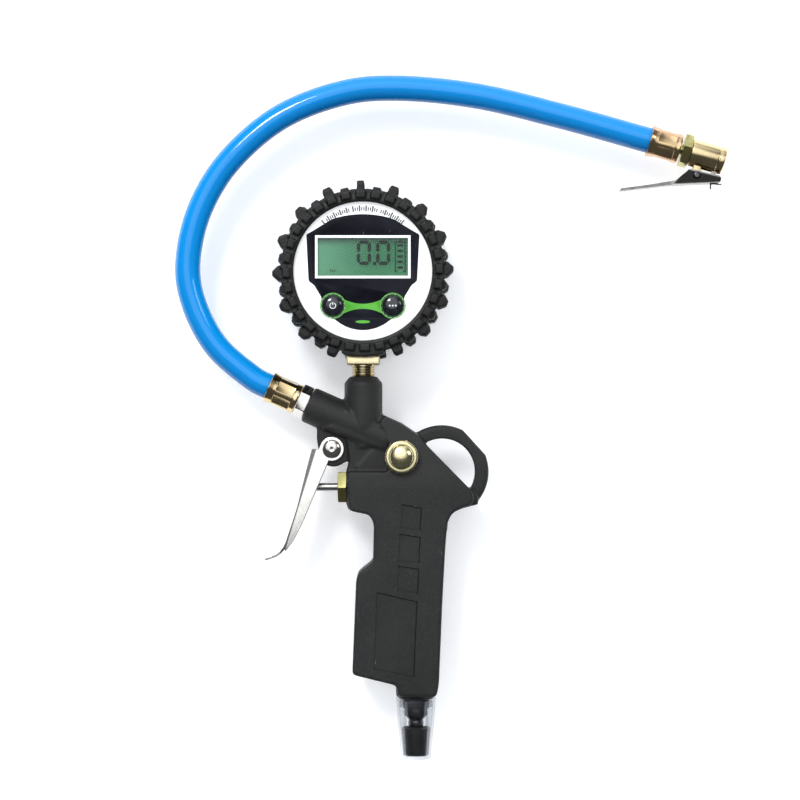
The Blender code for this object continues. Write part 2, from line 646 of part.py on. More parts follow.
def make_electronics():
    circle = arc((NECK_X, GAUGE_Z), 0.0300, -41.8, 221.8, 40)
    plate("circuit_board", circle, 0.0016, MATERIALS["board"], origin=(NECK_X, GAUGE_Z), y=-0.0072)
    for name, z in zip(("lower", "upper"), BATTERY_HEIGHTS):
        place = along(gauge_point(0, z, BATTERY_Y), RIGHT)
        end = BATTERY_LENGTH / 2
        smooth(turned(f"battery_{name}", place,
                      [(0, end), (0.0019, end), (0.0019, end - 0.001), (0.0048, end - 0.001),
                       (BATTERY_RADIUS, end - 0.0015), (BATTERY_RADIUS, -end + 0.0004), (0.0048, -end),
                       (0, -end)], MATERIALS["case"], steps=16))
    for side, sign in (("left", -1), ("right", 1)):
        x0, x1 = sorted((sign * 0.0225, sign * 0.0229))
        box(f"battery_contact_{side}", gauge_point(x0, -0.0060, 0.0020), gauge_point(x1, 0.0140, 0.0100),
            MATERIALS["nickel"])


# ---------------------------------------------------------------- hose

def hose_path():
    """From inside the gun's ferrule, up, over the gauge and across to the chuck."""
    start = BARREL_END + BARREL_DIRECTION * 0.0055
    end = CHUCK_REAR - CHUCK_DIRECTION * 0.0055
    middle = [(-0.0782, 0.1797), (-0.0945, 0.1945), (-0.1048, 0.2148), (-0.1072, 0.2341), (-0.1015, 0.2582),
              (-0.0875, 0.2810), (-0.0640, 0.3011), (-0.0350, 0.3125), (-0.0075, 0.3149), (0.0290, 0.3112),
              (0.0680, 0.3019)]
    points = [start, start + BARREL_DIRECTION * 0.0140] + [Vector((x, 0, z)) for x, z in middle]
    points += [end - CHUCK_DIRECTION * 0.0200, end]
    return smooth_path(points, 3)


def make_hose():
    path = [tuple(point) for point in hose_path()]
    hose = spline_object("hose", path, '3D', False)
    hose.data.bevel_depth = HOSE_RADIUS
    hose.data.bevel_resolution = 3
    hose.data.use_fill_caps = False
    hose = curve_to_mesh(hose, MATERIALS["hose"])
    wall = hose.modifiers.new("Solidify", 'SOLIDIFY')
    wall.thickness = HOSE_WALL
    wall.offset = -1
    smooth(hose)


def make_ferrule(name, frame):
    """A crimped sleeve, flared where the hose enters it at the frame's +Z end."""
    sleeve = turned(name, frame,
                    [(0.0074, 0.0148), (0.0071, 0.0140), (0.0068, 0.0120), (0.0068, 0.0020),
                     (0.0072, 0.0), (0.0063, 0.0), (0.0063, 0.0148)], MATERIALS["brass"], steps=16)
    smooth(sleeve)


def barbed_tail():
    """The hose barb's outer profile above its hex, from the tip down."""
    profile = []
    for ridge in range(2):
        top = 0.0190 - ridge * 0.0060
        profile += [(0.0024, top), (BARB_RADIUS, top - 0.0028), (0.0024, top - 0.0030)]
    return profile


TAIL_BORE = [(0, 0.0300), (0.0015, 0.0300), (0.0015, -0.0200), (0, -0.0200)]


def make_hose_fitting():
    barrel = along(BARREL_END, BARREL_DIRECTION)
    hex_fitting("hose_fitting", barrel,
                [(0, 0.0190)] + barbed_tail() + [(0.0024, 0.0040), (0.0062, 0.0020), (0.0062, -0.0095),
                                                 (0, -0.0095)],
                (0.0140, 0.0003, 0.0049), TAIL_BORE, MATERIALS["nickel"])
    make_ferrule("ferrule_gun", along(BARREL_END + BARREL_DIRECTION * 0.0053, BARREL_DIRECTION))
    make_hose()


# ---------------------------------------------------------------- chuck

def make_chuck():
    chuck = along(CHUCK_REAR, CHUCK_DIRECTION)
    back = along(CHUCK_REAR, -CHUCK_DIRECTION)
    hex_fitting("chuck_tail", back,
                [(0, 0.0190)] + barbed_tail() + [(0.0024, 0.0040), (0.0046, 0.0020), (0.0046, -0.0040),
                                                 (0, -0.0040)],
                (0.0140, 0.0003, 0.0040), TAIL_BORE, MATERIALS["brass"], turn=0)
    make_ferrule("ferrule_chuck", along(CHUCK_REAR - CHUCK_DIRECTION * 0.0053, -CHUCK_DIRECTION))

    body = turned("chuck_body", chuck,
                  [(0.0060, CHUCK_LENGTH), (CHUCK_RADIUS, 0.0160), (CHUCK_RADIUS, 0.0136), (0.0061, 0.0134),
                   (0.0061, 0.0128), (CHUCK_RADIUS, 0.0126), (CHUCK_RADIUS, 0.0004), (0.0060, 0.0),
                   (0.0049, 0.0), (0.0049, 0.0050), (0.0018, 0.0050), (0.0018, 0.0070), (0.0046, 0.0070),
                   (0.0046, 0.0150), (0.0050, CHUCK_LENGTH)], MATERIALS["brass"], steps=20)
    lug = plate("blank_clip_lug",
                arc(CLIP_PIVOT, 0.0023, 170, 370, 8) + [(0.1338, 0.2790), (0.1305, 0.2800)],
                0.0060)
    cut(lug, cylinder("cut_lug_bore", chuck, 0.0055, 0.0, 0.0150))
    join(body, lug)
    slot = box("cut_chuck_slot", (0.1385, -0.0024, 0.2700), (0.1428, 0.0024, 0.2800))
    hole = cylinder("cut_lug_hole", along((CLIP_PIVOT[0], 0, CLIP_PIVOT[1]), FRONT), 0.0012, -0.02, 0.02,
                    steps=12)
    cut(body, slot, hole)
    turned("chuck_seal", chuck, tube_profile(0.0043, 0.0022, 0.0087, 0.0110), MATERIALS["rubber"], steps=14)
    turned("chuck_pin", chuck,
           [(0, 0.0118), (0.0007, 0.0116), (0.0007, 0.0083), (0.0043, 0.0083), (0.0043, 0.0074), (0, 0.0074)],
           MATERIALS["brass"], steps=12)


def make_clip():
    outline = [(0.0987, 0.2664), (0.1211, 0.2693), (0.1424, 0.2700), (0.1430, 0.2720), (0.1422, 0.2729),
               (0.1284, 0.2765), (0.1265, 0.2752), (0.1215, 0.2712), (0.1090, 0.2690), (0.0990, 0.2672)]
    inside = [(0.0960, 0.2671), (0.1000, 0.2672), (0.1090, 0.2685), (0.1211, 0.2700), (0.1500, 0.2708),
              (0.1500, 0.2800), (0.0960, 0.2800)]
    lever = plate("clip_lever", outline, CLIP_WIDTH, MATERIALS["steel"], origin=CLIP_PIVOT)
    frame = along((CLIP_PIVOT[0], 0, CLIP_PIVOT[1]), FRONT)
    tooth = [(0.1388, 0.2695), (0.1408, 0.2695), (0.1408, 0.2766), (0.1400, 0.2771), (0.1388, 0.2760)]
    cut(lever, plate("cut_clip_inside", inside, CLIP_WIDTH - 2 * CLIP_PLATE))
    join(lever, plate("blank_clip_tooth", tooth, 0.0040))
    cut(lever, cylinder("cut_clip_hole", frame, 0.0012, -0.02, 0.02, steps=12))
    half = CLIP_WIDTH / 2 + GAP
    smooth(turned("clip_pin", frame,
                  [(0, half + 0.0005), (0.0014, half + 0.0004), (0.0018, half), (0.0009, half),
                   (0.0009, -half), (0.0018, -half), (0.0014, -half - 0.0004), (0, -half - 0.0005)],
                  MATERIALS["steel"], steps=12))
    make_clip_spring()


def make_clip_spring():
    """A leaf wire that rests on the chuck's lug and presses the lever's tail down."""
    points = [(0.1285, 0.2768), (0.1262, 0.2740), (0.1235, 0.2718), (0.1205, 0.2709), (0.1165, 0.2702)]
    wire("clip_spring", [(x, 0, z) for x, z in points], 0.0003, MATERIALS["steel"])


# ---------------------------------------------------------------- build

clear_scene()
PARTS = new_collection("tyre_inflator")
CUTTERS = new_collection("cutters")
MATERIALS = {
    "casting": principled("casting", (0.035, 0.035, 0.036), 0.65),
    "nickel": principled("nickel", (0.78, 0.76, 0.72), 0.18, 1.0),
    "steel": principled("steel", (0.62, 0.62, 0.62), 0.25, 1.0),
    "brass": principled("brass", (0.72, 0.58, 0.28), 0.25, 1.0),
    "rubber": principled("rubber", (0.012, 0.012, 0.013), 0.7),
    "clear": principled("clear", (0.8, 0.8, 0.8), 0.1, alpha=0.3),
    "case": principled("case", (0.02, 0.02, 0.025), 0.35),
    "dial": principled("dial", (0.85, 0.87, 0.85), 0.4),
    "lcd": principled("lcd", (0.09, 0.32, 0.17), 0.3),
    "board": principled("board", (0.03, 0.16, 0.06), 0.5),
    "hose": principled("hose", (0.015, 0.26, 0.80), 0.25),
}
make_casting()
make_trigger()
make_valve()
make_bleed_valve()
make_inlet()
make_stem()
make_boot()
make_gauge_case()
make_back_cover()
make_dial()
make_electronics()
make_hose_fitting()
make_chuck()
make_clip()
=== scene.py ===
"""Looks for the tyre inflator: fine meshes, materials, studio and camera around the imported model."""
import math
import json

import bmesh
import bpy
from mathutils import Matrix, Vector

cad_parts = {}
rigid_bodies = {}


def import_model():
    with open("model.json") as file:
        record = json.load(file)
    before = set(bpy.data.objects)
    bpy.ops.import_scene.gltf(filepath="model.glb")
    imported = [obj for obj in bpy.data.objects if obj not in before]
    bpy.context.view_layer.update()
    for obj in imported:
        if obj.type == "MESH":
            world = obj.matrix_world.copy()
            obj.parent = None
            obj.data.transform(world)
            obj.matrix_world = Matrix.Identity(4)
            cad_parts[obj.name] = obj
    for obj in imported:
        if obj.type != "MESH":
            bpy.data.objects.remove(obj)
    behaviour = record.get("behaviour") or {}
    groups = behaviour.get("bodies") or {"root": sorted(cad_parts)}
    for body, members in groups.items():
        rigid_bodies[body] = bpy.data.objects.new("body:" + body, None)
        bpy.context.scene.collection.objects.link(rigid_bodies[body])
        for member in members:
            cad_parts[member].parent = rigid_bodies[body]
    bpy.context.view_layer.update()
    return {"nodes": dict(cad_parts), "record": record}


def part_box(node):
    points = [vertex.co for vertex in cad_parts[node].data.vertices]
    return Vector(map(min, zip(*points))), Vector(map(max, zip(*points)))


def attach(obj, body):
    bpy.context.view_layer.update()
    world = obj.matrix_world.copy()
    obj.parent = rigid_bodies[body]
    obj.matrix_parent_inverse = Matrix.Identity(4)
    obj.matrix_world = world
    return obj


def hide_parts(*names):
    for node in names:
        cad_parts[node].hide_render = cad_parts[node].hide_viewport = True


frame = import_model()

FRONT = Vector((0, -1, 0))
UP = Vector((0, 0, 1))
RIGHT = Vector((1, 0, 0))
JOINTS = {joint["name"]: joint for joint in frame["record"]["behaviour"]["joints"]}
MOUNTS = {mount["name"]: mount for mount in frame["record"]["mounts"]}
ROOT = "gun_body"


def middle_of(node):
    low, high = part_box(node)
    return (Vector(low) + Vector(high)) / 2


# Sizes and places of the casting and the chuck
NECK_TOP = 0.1791
NECK_RADIUS = 0.00875
BARREL_DIRECTION = Vector((-0.9135, 0, 0.4067)).normalized()
BARREL_END = Vector((-0.0506, 0, 0.1663))
BARREL_RADIUS = 0.0086
HOOK_CENTRE = (0.0122, 0.1347)
GRIP_HALF = 0.0110                    # half the grip's thickness
CHUCK_LENGTH = 0.0164
HEX_ACROSS = 0.0140                   # across the flats, on every fitting but the inlet's

# Places taken from the frame
GAUGE = middle_of("dial_plate")
GAUGE.y = 0
NECK_X = GAUGE.x
TRIGGER_PIVOT = Vector(JOINTS["trigger_pull"]["pos_m"])
CLIP_PIVOT = Vector(JOINTS["clip_release"]["pos_m"])
VALVE_Z = middle_of("pushrod").z
BLEED = middle_of("bleed_button")
BLEED.y = 0
CHUCK_DIRECTION = Vector(MOUNTS["chuck_mouth"]["axis"]).normalized()
CHUCK_MOUTH = Vector(MOUNTS["chuck_mouth"]["pos_m"])
CHUCK_MOUTH.y = 0
CHUCK_REAR = CHUCK_MOUTH - CHUCK_DIRECTION * CHUCK_LENGTH


# ---------------------------------------------------------------- mesh helpers

def add(name, mesh, place=None):
    obj = bpy.data.objects.new(name, mesh)
    bpy.context.scene.collection.objects.link(obj)
    if place is not None:
        mesh.transform(place)
    return obj


def from_shape(name, shape, place=None):
    """An object from a bmesh, which is then let go."""
    mesh = bpy.data.meshes.new(name)
    shape.to_mesh(mesh)
    shape.free()
    return add(name, mesh, place)


def band(shape, first, second):
    """Faces between two loops with as many vertices."""
    for i in range(len(first)):
        j = (i + 1) % len(first)
        shape.faces.new((first[i], second[i], second[j], first[j]))


def along(origin, direction):
    """A matrix at origin whose Z runs along direction."""
    z = Vector(direction).normalized()
    x = FRONT if abs(z.y) < 0.5 else RIGHT
    y = z.cross(x).normalized()
    x = y.cross(z)
    place = Matrix((x, y, z)).transposed().to_4x4()
    place.translation = Vector(origin)
    return place


def shade(obj, angle=38):
    obj.data.shade_smooth()
    obj.data.set_sharp_from_angle(angle=math.radians(angle))
    return obj


def soften_edges(obj, width):
    """A narrow bevel on every edge sharper than 50 degrees."""
    rounding = obj.modifiers.new("Bevel", 'BEVEL')
    rounding.width = width
    rounding.segments = 2
    rounding.limit_method = 'ANGLE'
    rounding.angle_limit = math.radians(50)
    apply(obj)


def even_normals(obj):
    """Large flat faces keep their own normal and the bevels beside them take up the bend."""
    weighted = obj.modifiers.new("Weighted", 'WEIGHTED_NORMAL')
    weighted.keep_sharp = True
    weighted.weight = 100
    apply(obj)


def fillet(points, radius, steps=3, closed=False):
    """Round a polyline's corners; the ends of an open one stay as they are."""
    points = [Vector(p) for p in points]
    count = len(points)
    rounded = []
    for i, corner in enumerate(points):
        if not closed and i in (0, count - 1):
            rounded.append(corner)
            continue
        back = points[i - 1] - corner
        ahead = points[(i + 1) % count] - corner
        reach = min(radius, back.length * 0.45, ahead.length * 0.45)
        start = corner + back.normalized() * reach
        end = corner + ahead.normalized() * reach
        for step in range(steps + 1):
            t = step / steps
            rounded.append(start.lerp(corner, t).lerp(corner.lerp(end, t), t))
    return rounded


def lathe(name, place, profile, segments=96, edge=0.0002, shading=38):
    """Turn a (radius, height) profile round Z. It runs down the outer side; radius 0 ends are closed."""
    closed = profile[0][0] > 0
    points = [Vector(p) for p in profile]
    if edge:
        points = fillet(points, edge, 3, closed)
    shape = bmesh.new()
    rings = []
    for point in points:
        if point.x < 1e-7:
            rings.append([shape.verts.new((0, 0, point.y))])
            continue
        ring = []
        for i in range(segments):
            angle = 2 * math.pi * i / segments
            ring.append(shape.verts.new((point.x * math.cos(angle), point.x * math.sin(angle), point.y)))
        rings.append(ring)
    pairs = list(zip(rings, rings[1:]))
    if closed:
        pairs.append((rings[-1], rings[0]))
    for upper, lower in pairs:
        for i in range(segments):
            j = (i + 1) % segments
            corners = [upper[i % len(upper)], lower[i % len(lower)],
                       lower[j % len(lower)], upper[j % len(upper)]]
            unique = list(dict.fromkeys(corners))
            if len(unique) > 2:
                shape.faces.new(unique)
    bmesh.ops.recalc_face_normals(shape, faces=shape.faces)
    return shade(from_shape(name, shape, place), shading)


def stepped(place, top, *steps, segments=48):
    """A round bore or rod from its top down; each step gives a radius and where it ends."""
    profile = [(0, top)]
    for radius, low in steps:
        profile += [(radius, profile[-1][1]), (radius, low)]
    return lathe("stepped", place, profile + [(0, profile[-1][1])], segments, edge=0)


def dome(radius, height, base):
    """The profile of a domed end, from its middle to its rim."""
    turns = [math.radians(angle) for angle in range(0, 91, 9)]
    return [(radius * math.sin(turn), base + height * math.cos(turn)) for turn in turns]


def prism(name, outline, near, far, bevel=0.0, segments=3):
    """A flat outline of (x, z) points between two depths along Y."""
    shape = bmesh.new()
    low = [shape.verts.new((p[0], near, p[1])) for p in outline]
    high = [shape.verts.new((p[0], far, p[1])) for p in outline]
    shape.faces.new(low)
    shape.faces.new(high[::-1])
    band(shape, low, high)
    bmesh.ops.recalc_face_normals(shape, faces=shape.faces)
    if bevel:
        rim = [e for e in shape.edges if abs(e.verts[0].co.y - e.verts[1].co.y) < 1e-7]
        bmesh.ops.bevel(shape, geom=rim, offset=bevel, segments=segments, profile=0.5, affect='EDGES',
                        clamp_overlap=True)
    return shade(from_shape(name, shape))


def block(name, low, high, bevel=0.0, segments=2, place=None):
    """A box between two opposite corners."""
    shape = bmesh.new()
    bmesh.ops.create_cube(shape, size=1)
    bmesh.ops.scale(shape, vec=[b - a for a, b in zip(low, high)], verts=shape.verts)
    bmesh.ops.translate(shape, vec=[(a + b) / 2 for a, b in zip(low, high)], verts=shape.verts)
    if bevel:
        bmesh.ops.bevel(shape, geom=list(shape.edges), offset=bevel, segments=segments, profile=0.5,
                        affect='EDGES')
    return shade(from_shape(name, shape, place))


def apply(obj):
    """Replace the mesh by the evaluated one, so that no modifier is left."""
    bpy.context.view_layer.update()
    graph = bpy.context.evaluated_depsgraph_get()
    mesh = bpy.data.meshes.new_from_object(obj.evaluated_get(graph))
    obj.modifiers.clear()
    obj.data = mesh
    return obj


def boolean(obj, operation, others):
    for other in others:
        step = obj.modifiers.new(operation, 'BOOLEAN')
        step.operation = operation
        step.object = other
        step.solver = 'MANIFOLD'
    apply(obj)
    for other in others:
        bpy.data.objects.remove(other, do_unlink=True)
    return obj


def join(obj, *others):
    return boolean(obj, 'UNION', others)


def cut(obj, *others):
    return boolean(obj, 'DIFFERENCE', others)


def blend_shape(obj, voxel, rounds):
    """Melt joined shapes together, as a casting's fillets do."""
    remesh = obj.modifiers.new("Remesh", 'REMESH')
    remesh.mode = 'VOXEL'
    remesh.voxel_size = voxel
    remesh.adaptivity = 0
    soften = obj.modifiers.new("Smooth", 'SMOOTH')
    soften.factor = 0.5
    soften.iterations = rounds
    return apply(obj)


def arc(centre, radius, start, end, steps):
    points = []
    for i in range(steps + 1):
        angle = math.radians(start + (end - start) * i / steps)
        points.append((centre[0] + radius * math.cos(angle), centre[1] + radius * math.sin(angle)))
    return points


def hex_blank(place, across_flats, start, end, chamfer, turn):
    """A hexagon whose corners are turned off at both ends."""
    corner = across_flats / math.sqrt(3)
    outline = arc((0, 0), corner, turn, turn + 300, 5)
    shape = bmesh.new()
    low = [shape.verts.new((x, y, start)) for x, y in outline]
    high = [shape.verts.new((x, y, end)) for x, y in outline]
    shape.faces.new(low)
    shape.faces.new(high)
    for i in range(6):
        j = (i + 1) % 6
        shape.faces.new((low[i], low[j], high[j], high[i]))
    bmesh.ops.recalc_face_normals(shape, faces=shape.faces)
    bmesh.ops.bevel(shape, geom=list(shape.edges), offset=0.00012, segments=2, profile=0.5, affect='EDGES')
    blank = from_shape("hexagon", shape, place)
    rim, clear = corner - chamfer * 1.1, 0.00001
    side = corner + 0.0002
    turning = lathe("turning", place, [(0, end + clear), (rim, end + clear), (side, end - chamfer),
                                       (side, start + chamfer), (rim, start - clear), (0, start - clear)],
                    72, edge=0)
    return boolean(blank, 'INTERSECT', [turning])


def hex_piece(name, place, outer, hex_size, inner, turn=30):
    """A turned piece with a chamfered hexagon on it and a stepped bore in it."""
    piece = lathe(name, place, outer, 72)
    join(piece, hex_blank(place, *hex_size, turn))
    cut(piece, stepped(place, *inner))
    return shade(piece, 30)


def smooth_path(points, steps):
    """A Catmull-Rom curve through the points."""
    guide = [points[0] * 2 - points[1]] + points + [points[-1] * 2 - points[-2]]
    path = []
    for i in range(1, len(guide) - 2):
        a, b, c, d = guide[i - 1:i + 3]
        for step in range(steps):
            t = step / steps
            path.append(0.5 * (2 * b + (c - a) * t + (2 * a - 5 * b + 4 * c - d) * t * t
                               + (3 * b - a - 3 * c + d) * t ** 3))
    path.append(guide[-2])
    return path


def ride(obj, body, *nodes, slot=None):
    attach(obj, body)
    if nodes:
        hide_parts(*nodes)
    return obj


# ---------------------------------------------------------------- casting

def grip_side():
    """The grip with the box in front of it, seen from the side."""
    return [(0.0147, 0.1120), (0.0137, 0.1005), (0.0122, 0.0730), (0.0107, 0.0363), (0.0096, 0.0300),
            (-0.0084, 0.0300), (-0.0091, 0.0352), (-0.0298, 0.0403), (-0.0280, 0.0842), (-0.0272, 0.0874),
            (-0.0201, 0.0931), (-0.0197, 0.1120)]


def grip_panels():
    """The shallow recesses in the grip's side: three small ones above a large one."""
    return [[(-0.0067, 0.1199), (0.0028, 0.1181), (0.0020, 0.1077), (-0.0072, 0.1086)],
            [(-0.0077, 0.1061), (0.0022, 0.1046), (0.0015, 0.0925), (-0.0082, 0.0932)],
            [(-0.0083, 0.0912), (0.0015, 0.0898), (0.0009, 0.0781), (-0.0089, 0.0796)],
            [(-0.0183, 0.0790), (0.0007, 0.0745), (-0.0009, 0.0393), (-0.0198, 0.0430)]]


def groove_outline(panel, width):
    """A groove along a panel's top and right sides."""
    left, top, low = (Vector(point) for point in panel[:3])
    across, down = (top - left).normalized(), (low - top).normalized()
    return [left, top, low, low - across * width, top - across * width + down * width, left + down * width]


def hook_ring():
    """The hook's outline: an arc with one flat, closed inside the head."""
    outer = arc(HOOK_CENTRE, 0.0218, 118, 63, 12) + arc(HOOK_CENTRE, 0.0219, 21, -42, 14)
    return outer + [(0.0200, 0.1185), (0.0100, 0.1200), (-0.0020, 0.1400), (-0.0050, 0.1500)]


def tapered(shape):
    """The shape thinned smoothly towards its top."""
    half = [(0.0114, 0.1000), (0.0113, 0.1225), (0.0107, 0.1330), (0.0097, 0.1440), (0.0086, 0.1540),
            (0.0078, 0.1700)]
    outline = fillet(half, 0.004, 4) + [Vector((-p[0], p[1])) for p in reversed(fillet(half, 0.004, 4))]
    limit = prism("limit", outline, -0.06, 0.06)
    for vert in limit.data.vertices:
        x, y, z = vert.co
        vert.co = (y, -x, z)
    boolean(shape, 'INTERSECT', [limit])
    return shape


def casting_blanks():
    """The solids that the casting melts together, above the grip."""
    right_side = [(0.0272, 0.1262), (0.0292, 0.1222), (0.0290, 0.1195), (0.0218, 0.1176), (0.0172, 0.1156),
                  (0.0150, 0.1122), (0.0146, 0.1070)]
    left_side = [(-0.0195, 0.1070), (-0.0199, 0.1112), (-0.0217, 0.1147), (-0.0313, 0.1167),
                 (-0.0328, 0.1200)]
    head = [(-0.0150, 0.1612), (-0.0067, 0.1575), (0.0000, 0.1530)] + right_side + left_side
    head += [(-0.0328, 0.1350), (-0.0313, 0.1400), (-0.0330, 0.1520), (-0.0330, 0.1612)]
    middle = [(-0.0285, 0.1372), (-0.0207, 0.1454), (-0.0130, 0.1482), (-0.0100, 0.1560), (-0.0067, 0.1573),
              (0.0000, 0.1529)]
    middle += right_side + left_side[:3]
    lower = [(-0.0322, 0.1349), (-0.0130, 0.1347), (-0.0118, 0.1440), (-0.0141, 0.1533), (-0.0172, 0.1575),
             (-0.0150, 0.1608), (-0.0067, 0.1571), (0.0000, 0.1526), (0.0258, 0.1260), (0.0270, 0.1222),
             (0.0260, 0.1197), (0.0210, 0.1178), (0.0168, 0.1156), (0.0145, 0.1110), (0.0143, 0.1060),
             (-0.0195, 0.1060)] + left_side[1:4]
    lug_ear = arc((-0.0387, 0.1440), 0.0070, 175, 300, 14)
    lug = [(-0.0465, 0.1600), (-0.0465, 0.1497)] + lug_ear + [(-0.0313, 0.1402), (-0.0250, 0.1430),
                                                              (-0.0250, 0.1600)]
    run = [(-0.0440, 0.1549), (-0.0206, 0.1459), (-0.0125, 0.1440), (-0.0122, 0.1510), (-0.0160, 0.1575),
           (-0.0330, 0.1650)]
    barrel = along(BARREL_END, BARREL_DIRECTION)
    neck = along((NECK_X, 0, 0), UP)
    neck_side = NECK_RADIUS + 0.0002
    valve = along((0, 0, VALVE_Z), RIGHT)
    lower = tapered(prism("lower", fillet(lower, 0.002, closed=True), -GRIP_HALF, GRIP_HALF, 0.0010))
    return [
        lower,
        prism("head", head, -0.0062, 0.0062, 0.0010),
        prism("middle", middle, -0.0068, 0.0068, 0.0010),
        prism("run", run, -0.0081, 0.0081, 0.0024, 5),
        prism("hook", hook_ring(), -0.0042, 0.0042, 0.0018),
        prism("lug", lug, -0.0041, 0.0041, 0.0005),
        lathe("neck", neck, [(0, NECK_TOP + 0.0004), (0.0064, NECK_TOP + 0.0002), (neck_side, 0.1762),
                             (neck_side, 0.1560), (0.0070, 0.1460), (0, 0.1440)], edge=0),
        lathe("barrel", barrel, [(0, 0.0001), (0.0080, 0.0001), (BARREL_RADIUS, -0.0008),
                                 (BARREL_RADIUS, -0.0400), (0.0070, -0.0460), (0, -0.0480)], edge=0),
        lathe("boss", valve, [(0, 0), (0.0101, -0.0050), (0.0101, -0.0316), (0.0097, -0.0323), (0, -0.0323)],
              edge=0),
        lathe("inlet", along((0, 0, 0), UP),
              [(0, 0.0420), (0.0094, 0.0420), (0.0094, 0.0296), (0.0089, 0.0289), (0, 0.0289)], edge=0)]


def make_casting():
    casting = prism("casting", fillet(grip_side(), 0.0018, closed=True), -GRIP_HALF, GRIP_HALF, 0.0042, 5)
    join(casting, *casting_blanks())
    hole = fillet(arc(HOOK_CENTRE, 0.0155, 121, -32, 40), 0.0006, closed=True)
    cut(casting, prism("hole", hole, -0.03, 0.03))
    blend_shape(casting, 0.0005, 6)
    recess, clear = 0.0005, 0.0020
    cutters = []
    for outline in grip_panels():
        for side in (-1, 1):
            near, far = sorted((side * (GRIP_HALF - recess), side * (GRIP_HALF + clear)))
            cutters.append(prism("panel", outline, near, far))
            near, far = sorted((side * (GRIP_HALF - recess * 2), side * (GRIP_HALF + clear - 0.0005)))
            cutters.append(prism("groove", groove_outline(outline, 0.0005), near, far))
    cut(casting, *cutters)
    cut(casting,
        lathe("bore", along((NECK_X, 0, 0), UP),
              [(0, 0.1900), (0.0058, 0.1900), (0.0058, 0.1792), (0.0052, 0.1784), (0.0052, 0.1690),
               (0, 0.1690)], 64, edge=0),
        stepped(along(BARREL_END, BARREL_DIRECTION), 0.0100, (0.0066, -0.0110), segments=64),
        stepped(along((0, 0, VALVE_Z), RIGHT), 0.0070, (0.0044, -0.0090), (0.0052, -0.0400), segments=64),
        stepped(along((0, 0, 0), UP), 0.1250, (0.0030, 0.0415), (0.0067, 0.0200), segments=64),
        stepped(along(BLEED, FRONT), 0.0200, (0.0044, -0.0060)),
        stepped(along(TRIGGER_PIVOT, FRONT), 0.01, (0.0025, -0.01)))
    shade(casting, 50)
    return ride(casting, ROOT, "body_casting", slot="powder_coat")


# ---------------------------------------------------------------- trigger and valve

def trigger_web():
    """The lever's outer line from its top to the curled tip."""
    return [Vector(p) for p in ((-0.0487, 0.1455), (-0.0520, 0.1329), (-0.0557, 0.1180), (-0.0590, 0.1080),
                                (-0.0617, 0.0999), (-0.0650, 0.0962), (-0.0706, 0.0944))]


def offset_line(points, distance):
    """The same open line, moved to its left."""
    moved = []
    for i, point in enumerate(points):
        ahead = points[min(i + 1, len(points) - 1)] - points[max(i - 1, 0)]
        moved.append(point + Vector((-ahead.y, ahead.x)).normalized() * distance)
    return moved


def round_fold(lever, line, half, radius):
    """Round the edges where the side plates meet the web's outer face."""
    shape = bmesh.new()
    shape.from_mesh(lever.data)
    weight = shape.edges.layers.float.new("bevel_weight_edge")
    for edge in shape.edges:
        ends = [vert.co for vert in edge.verts]
        on_rim = all(abs(abs(co.y) - half) < 0.00002 for co in ends)
        on_line = all(min((Vector((co.x, co.z)) - point).length for point in line) < 0.00003 for co in ends)
        if on_rim and on_line:
            edge[weight] = 1.0
    shape.to_mesh(lever.data)
    shape.free()
    fold = lever.modifiers.new("Fold", 'BEVEL')
    fold.width = radius
    fold.segments = 6
    fold.limit_method = 'WEIGHT'
    apply(lever)


def make_trigger():
    width, plate = 0.0114, 0.0012
    web = fillet(trigger_web(), 0.004, 5)
    inner = offset_line(web, plate)
    tip_round = [web[-1] + Vector((-0.0003, -0.0005))]
    strip = prism("web", web + tip_round + inner[::-1], -width / 2, width / 2)
    ear = arc(TRIGGER_PIVOT.xz, 0.0056, -105, 155, 26)
    rear = [Vector(p) for p in ((-0.0612, 0.0972), (-0.0580, 0.1012), (-0.0534, 0.1102), (-0.0478, 0.1236))]
    front_line = offset_line(web, plate * 0.4)
    front_line = [p for p in front_line if p.y > 0.0990]
    neck = [Vector((-0.0455, 0.1452)), Vector((-0.0472, 0.1452))]
    side = fillet(rear, 0.003, 4) + [Vector(p) for p in ear] + neck + front_line
    middles = [sign * (width / 2 - plate / 2) for sign in (-1, 1)]
    lever = join(strip, *[prism("cheek", side, y - plate / 2, y + plate / 2, 0.0002, 2) for y in middles])
    cut(lever, stepped(along(TRIGGER_PIVOT, FRONT), 0.02, (0.0025, -0.02)))
    lever.name = "lever"
    round_fold(lever, web, width / 2, 0.0019)
    round_fold(lever, fillet(rear, 0.003, 4), width / 2, 0.0005)
    soften_edges(lever, 0.00018)
    shade(lever, 35)
    even_normals(lever)
    ride(lever, "trigger", "trigger_lever", slot="nickel_plate")

    half = width / 2 + 0.0003
    head = dome(0.0044, 0.0016, half + 0.0005)
    head[0] = (0, head[0][1] - 0.0003)
    head[1] = (head[1][0], head[1][1] - 0.0001)
    profile = head + [(0.0044, half), (0.0022, half), (0.0022, -half), (0.0044, -half)]
    profile += [(r, -h) for r, h in reversed(head)]
    pin = lathe("rivet", along(TRIGGER_PIVOT, FRONT), profile, 96, edge=0.0001, shading=60)
    ride(pin, ROOT, "trigger_pivot_pin", slot="nickel_plate")


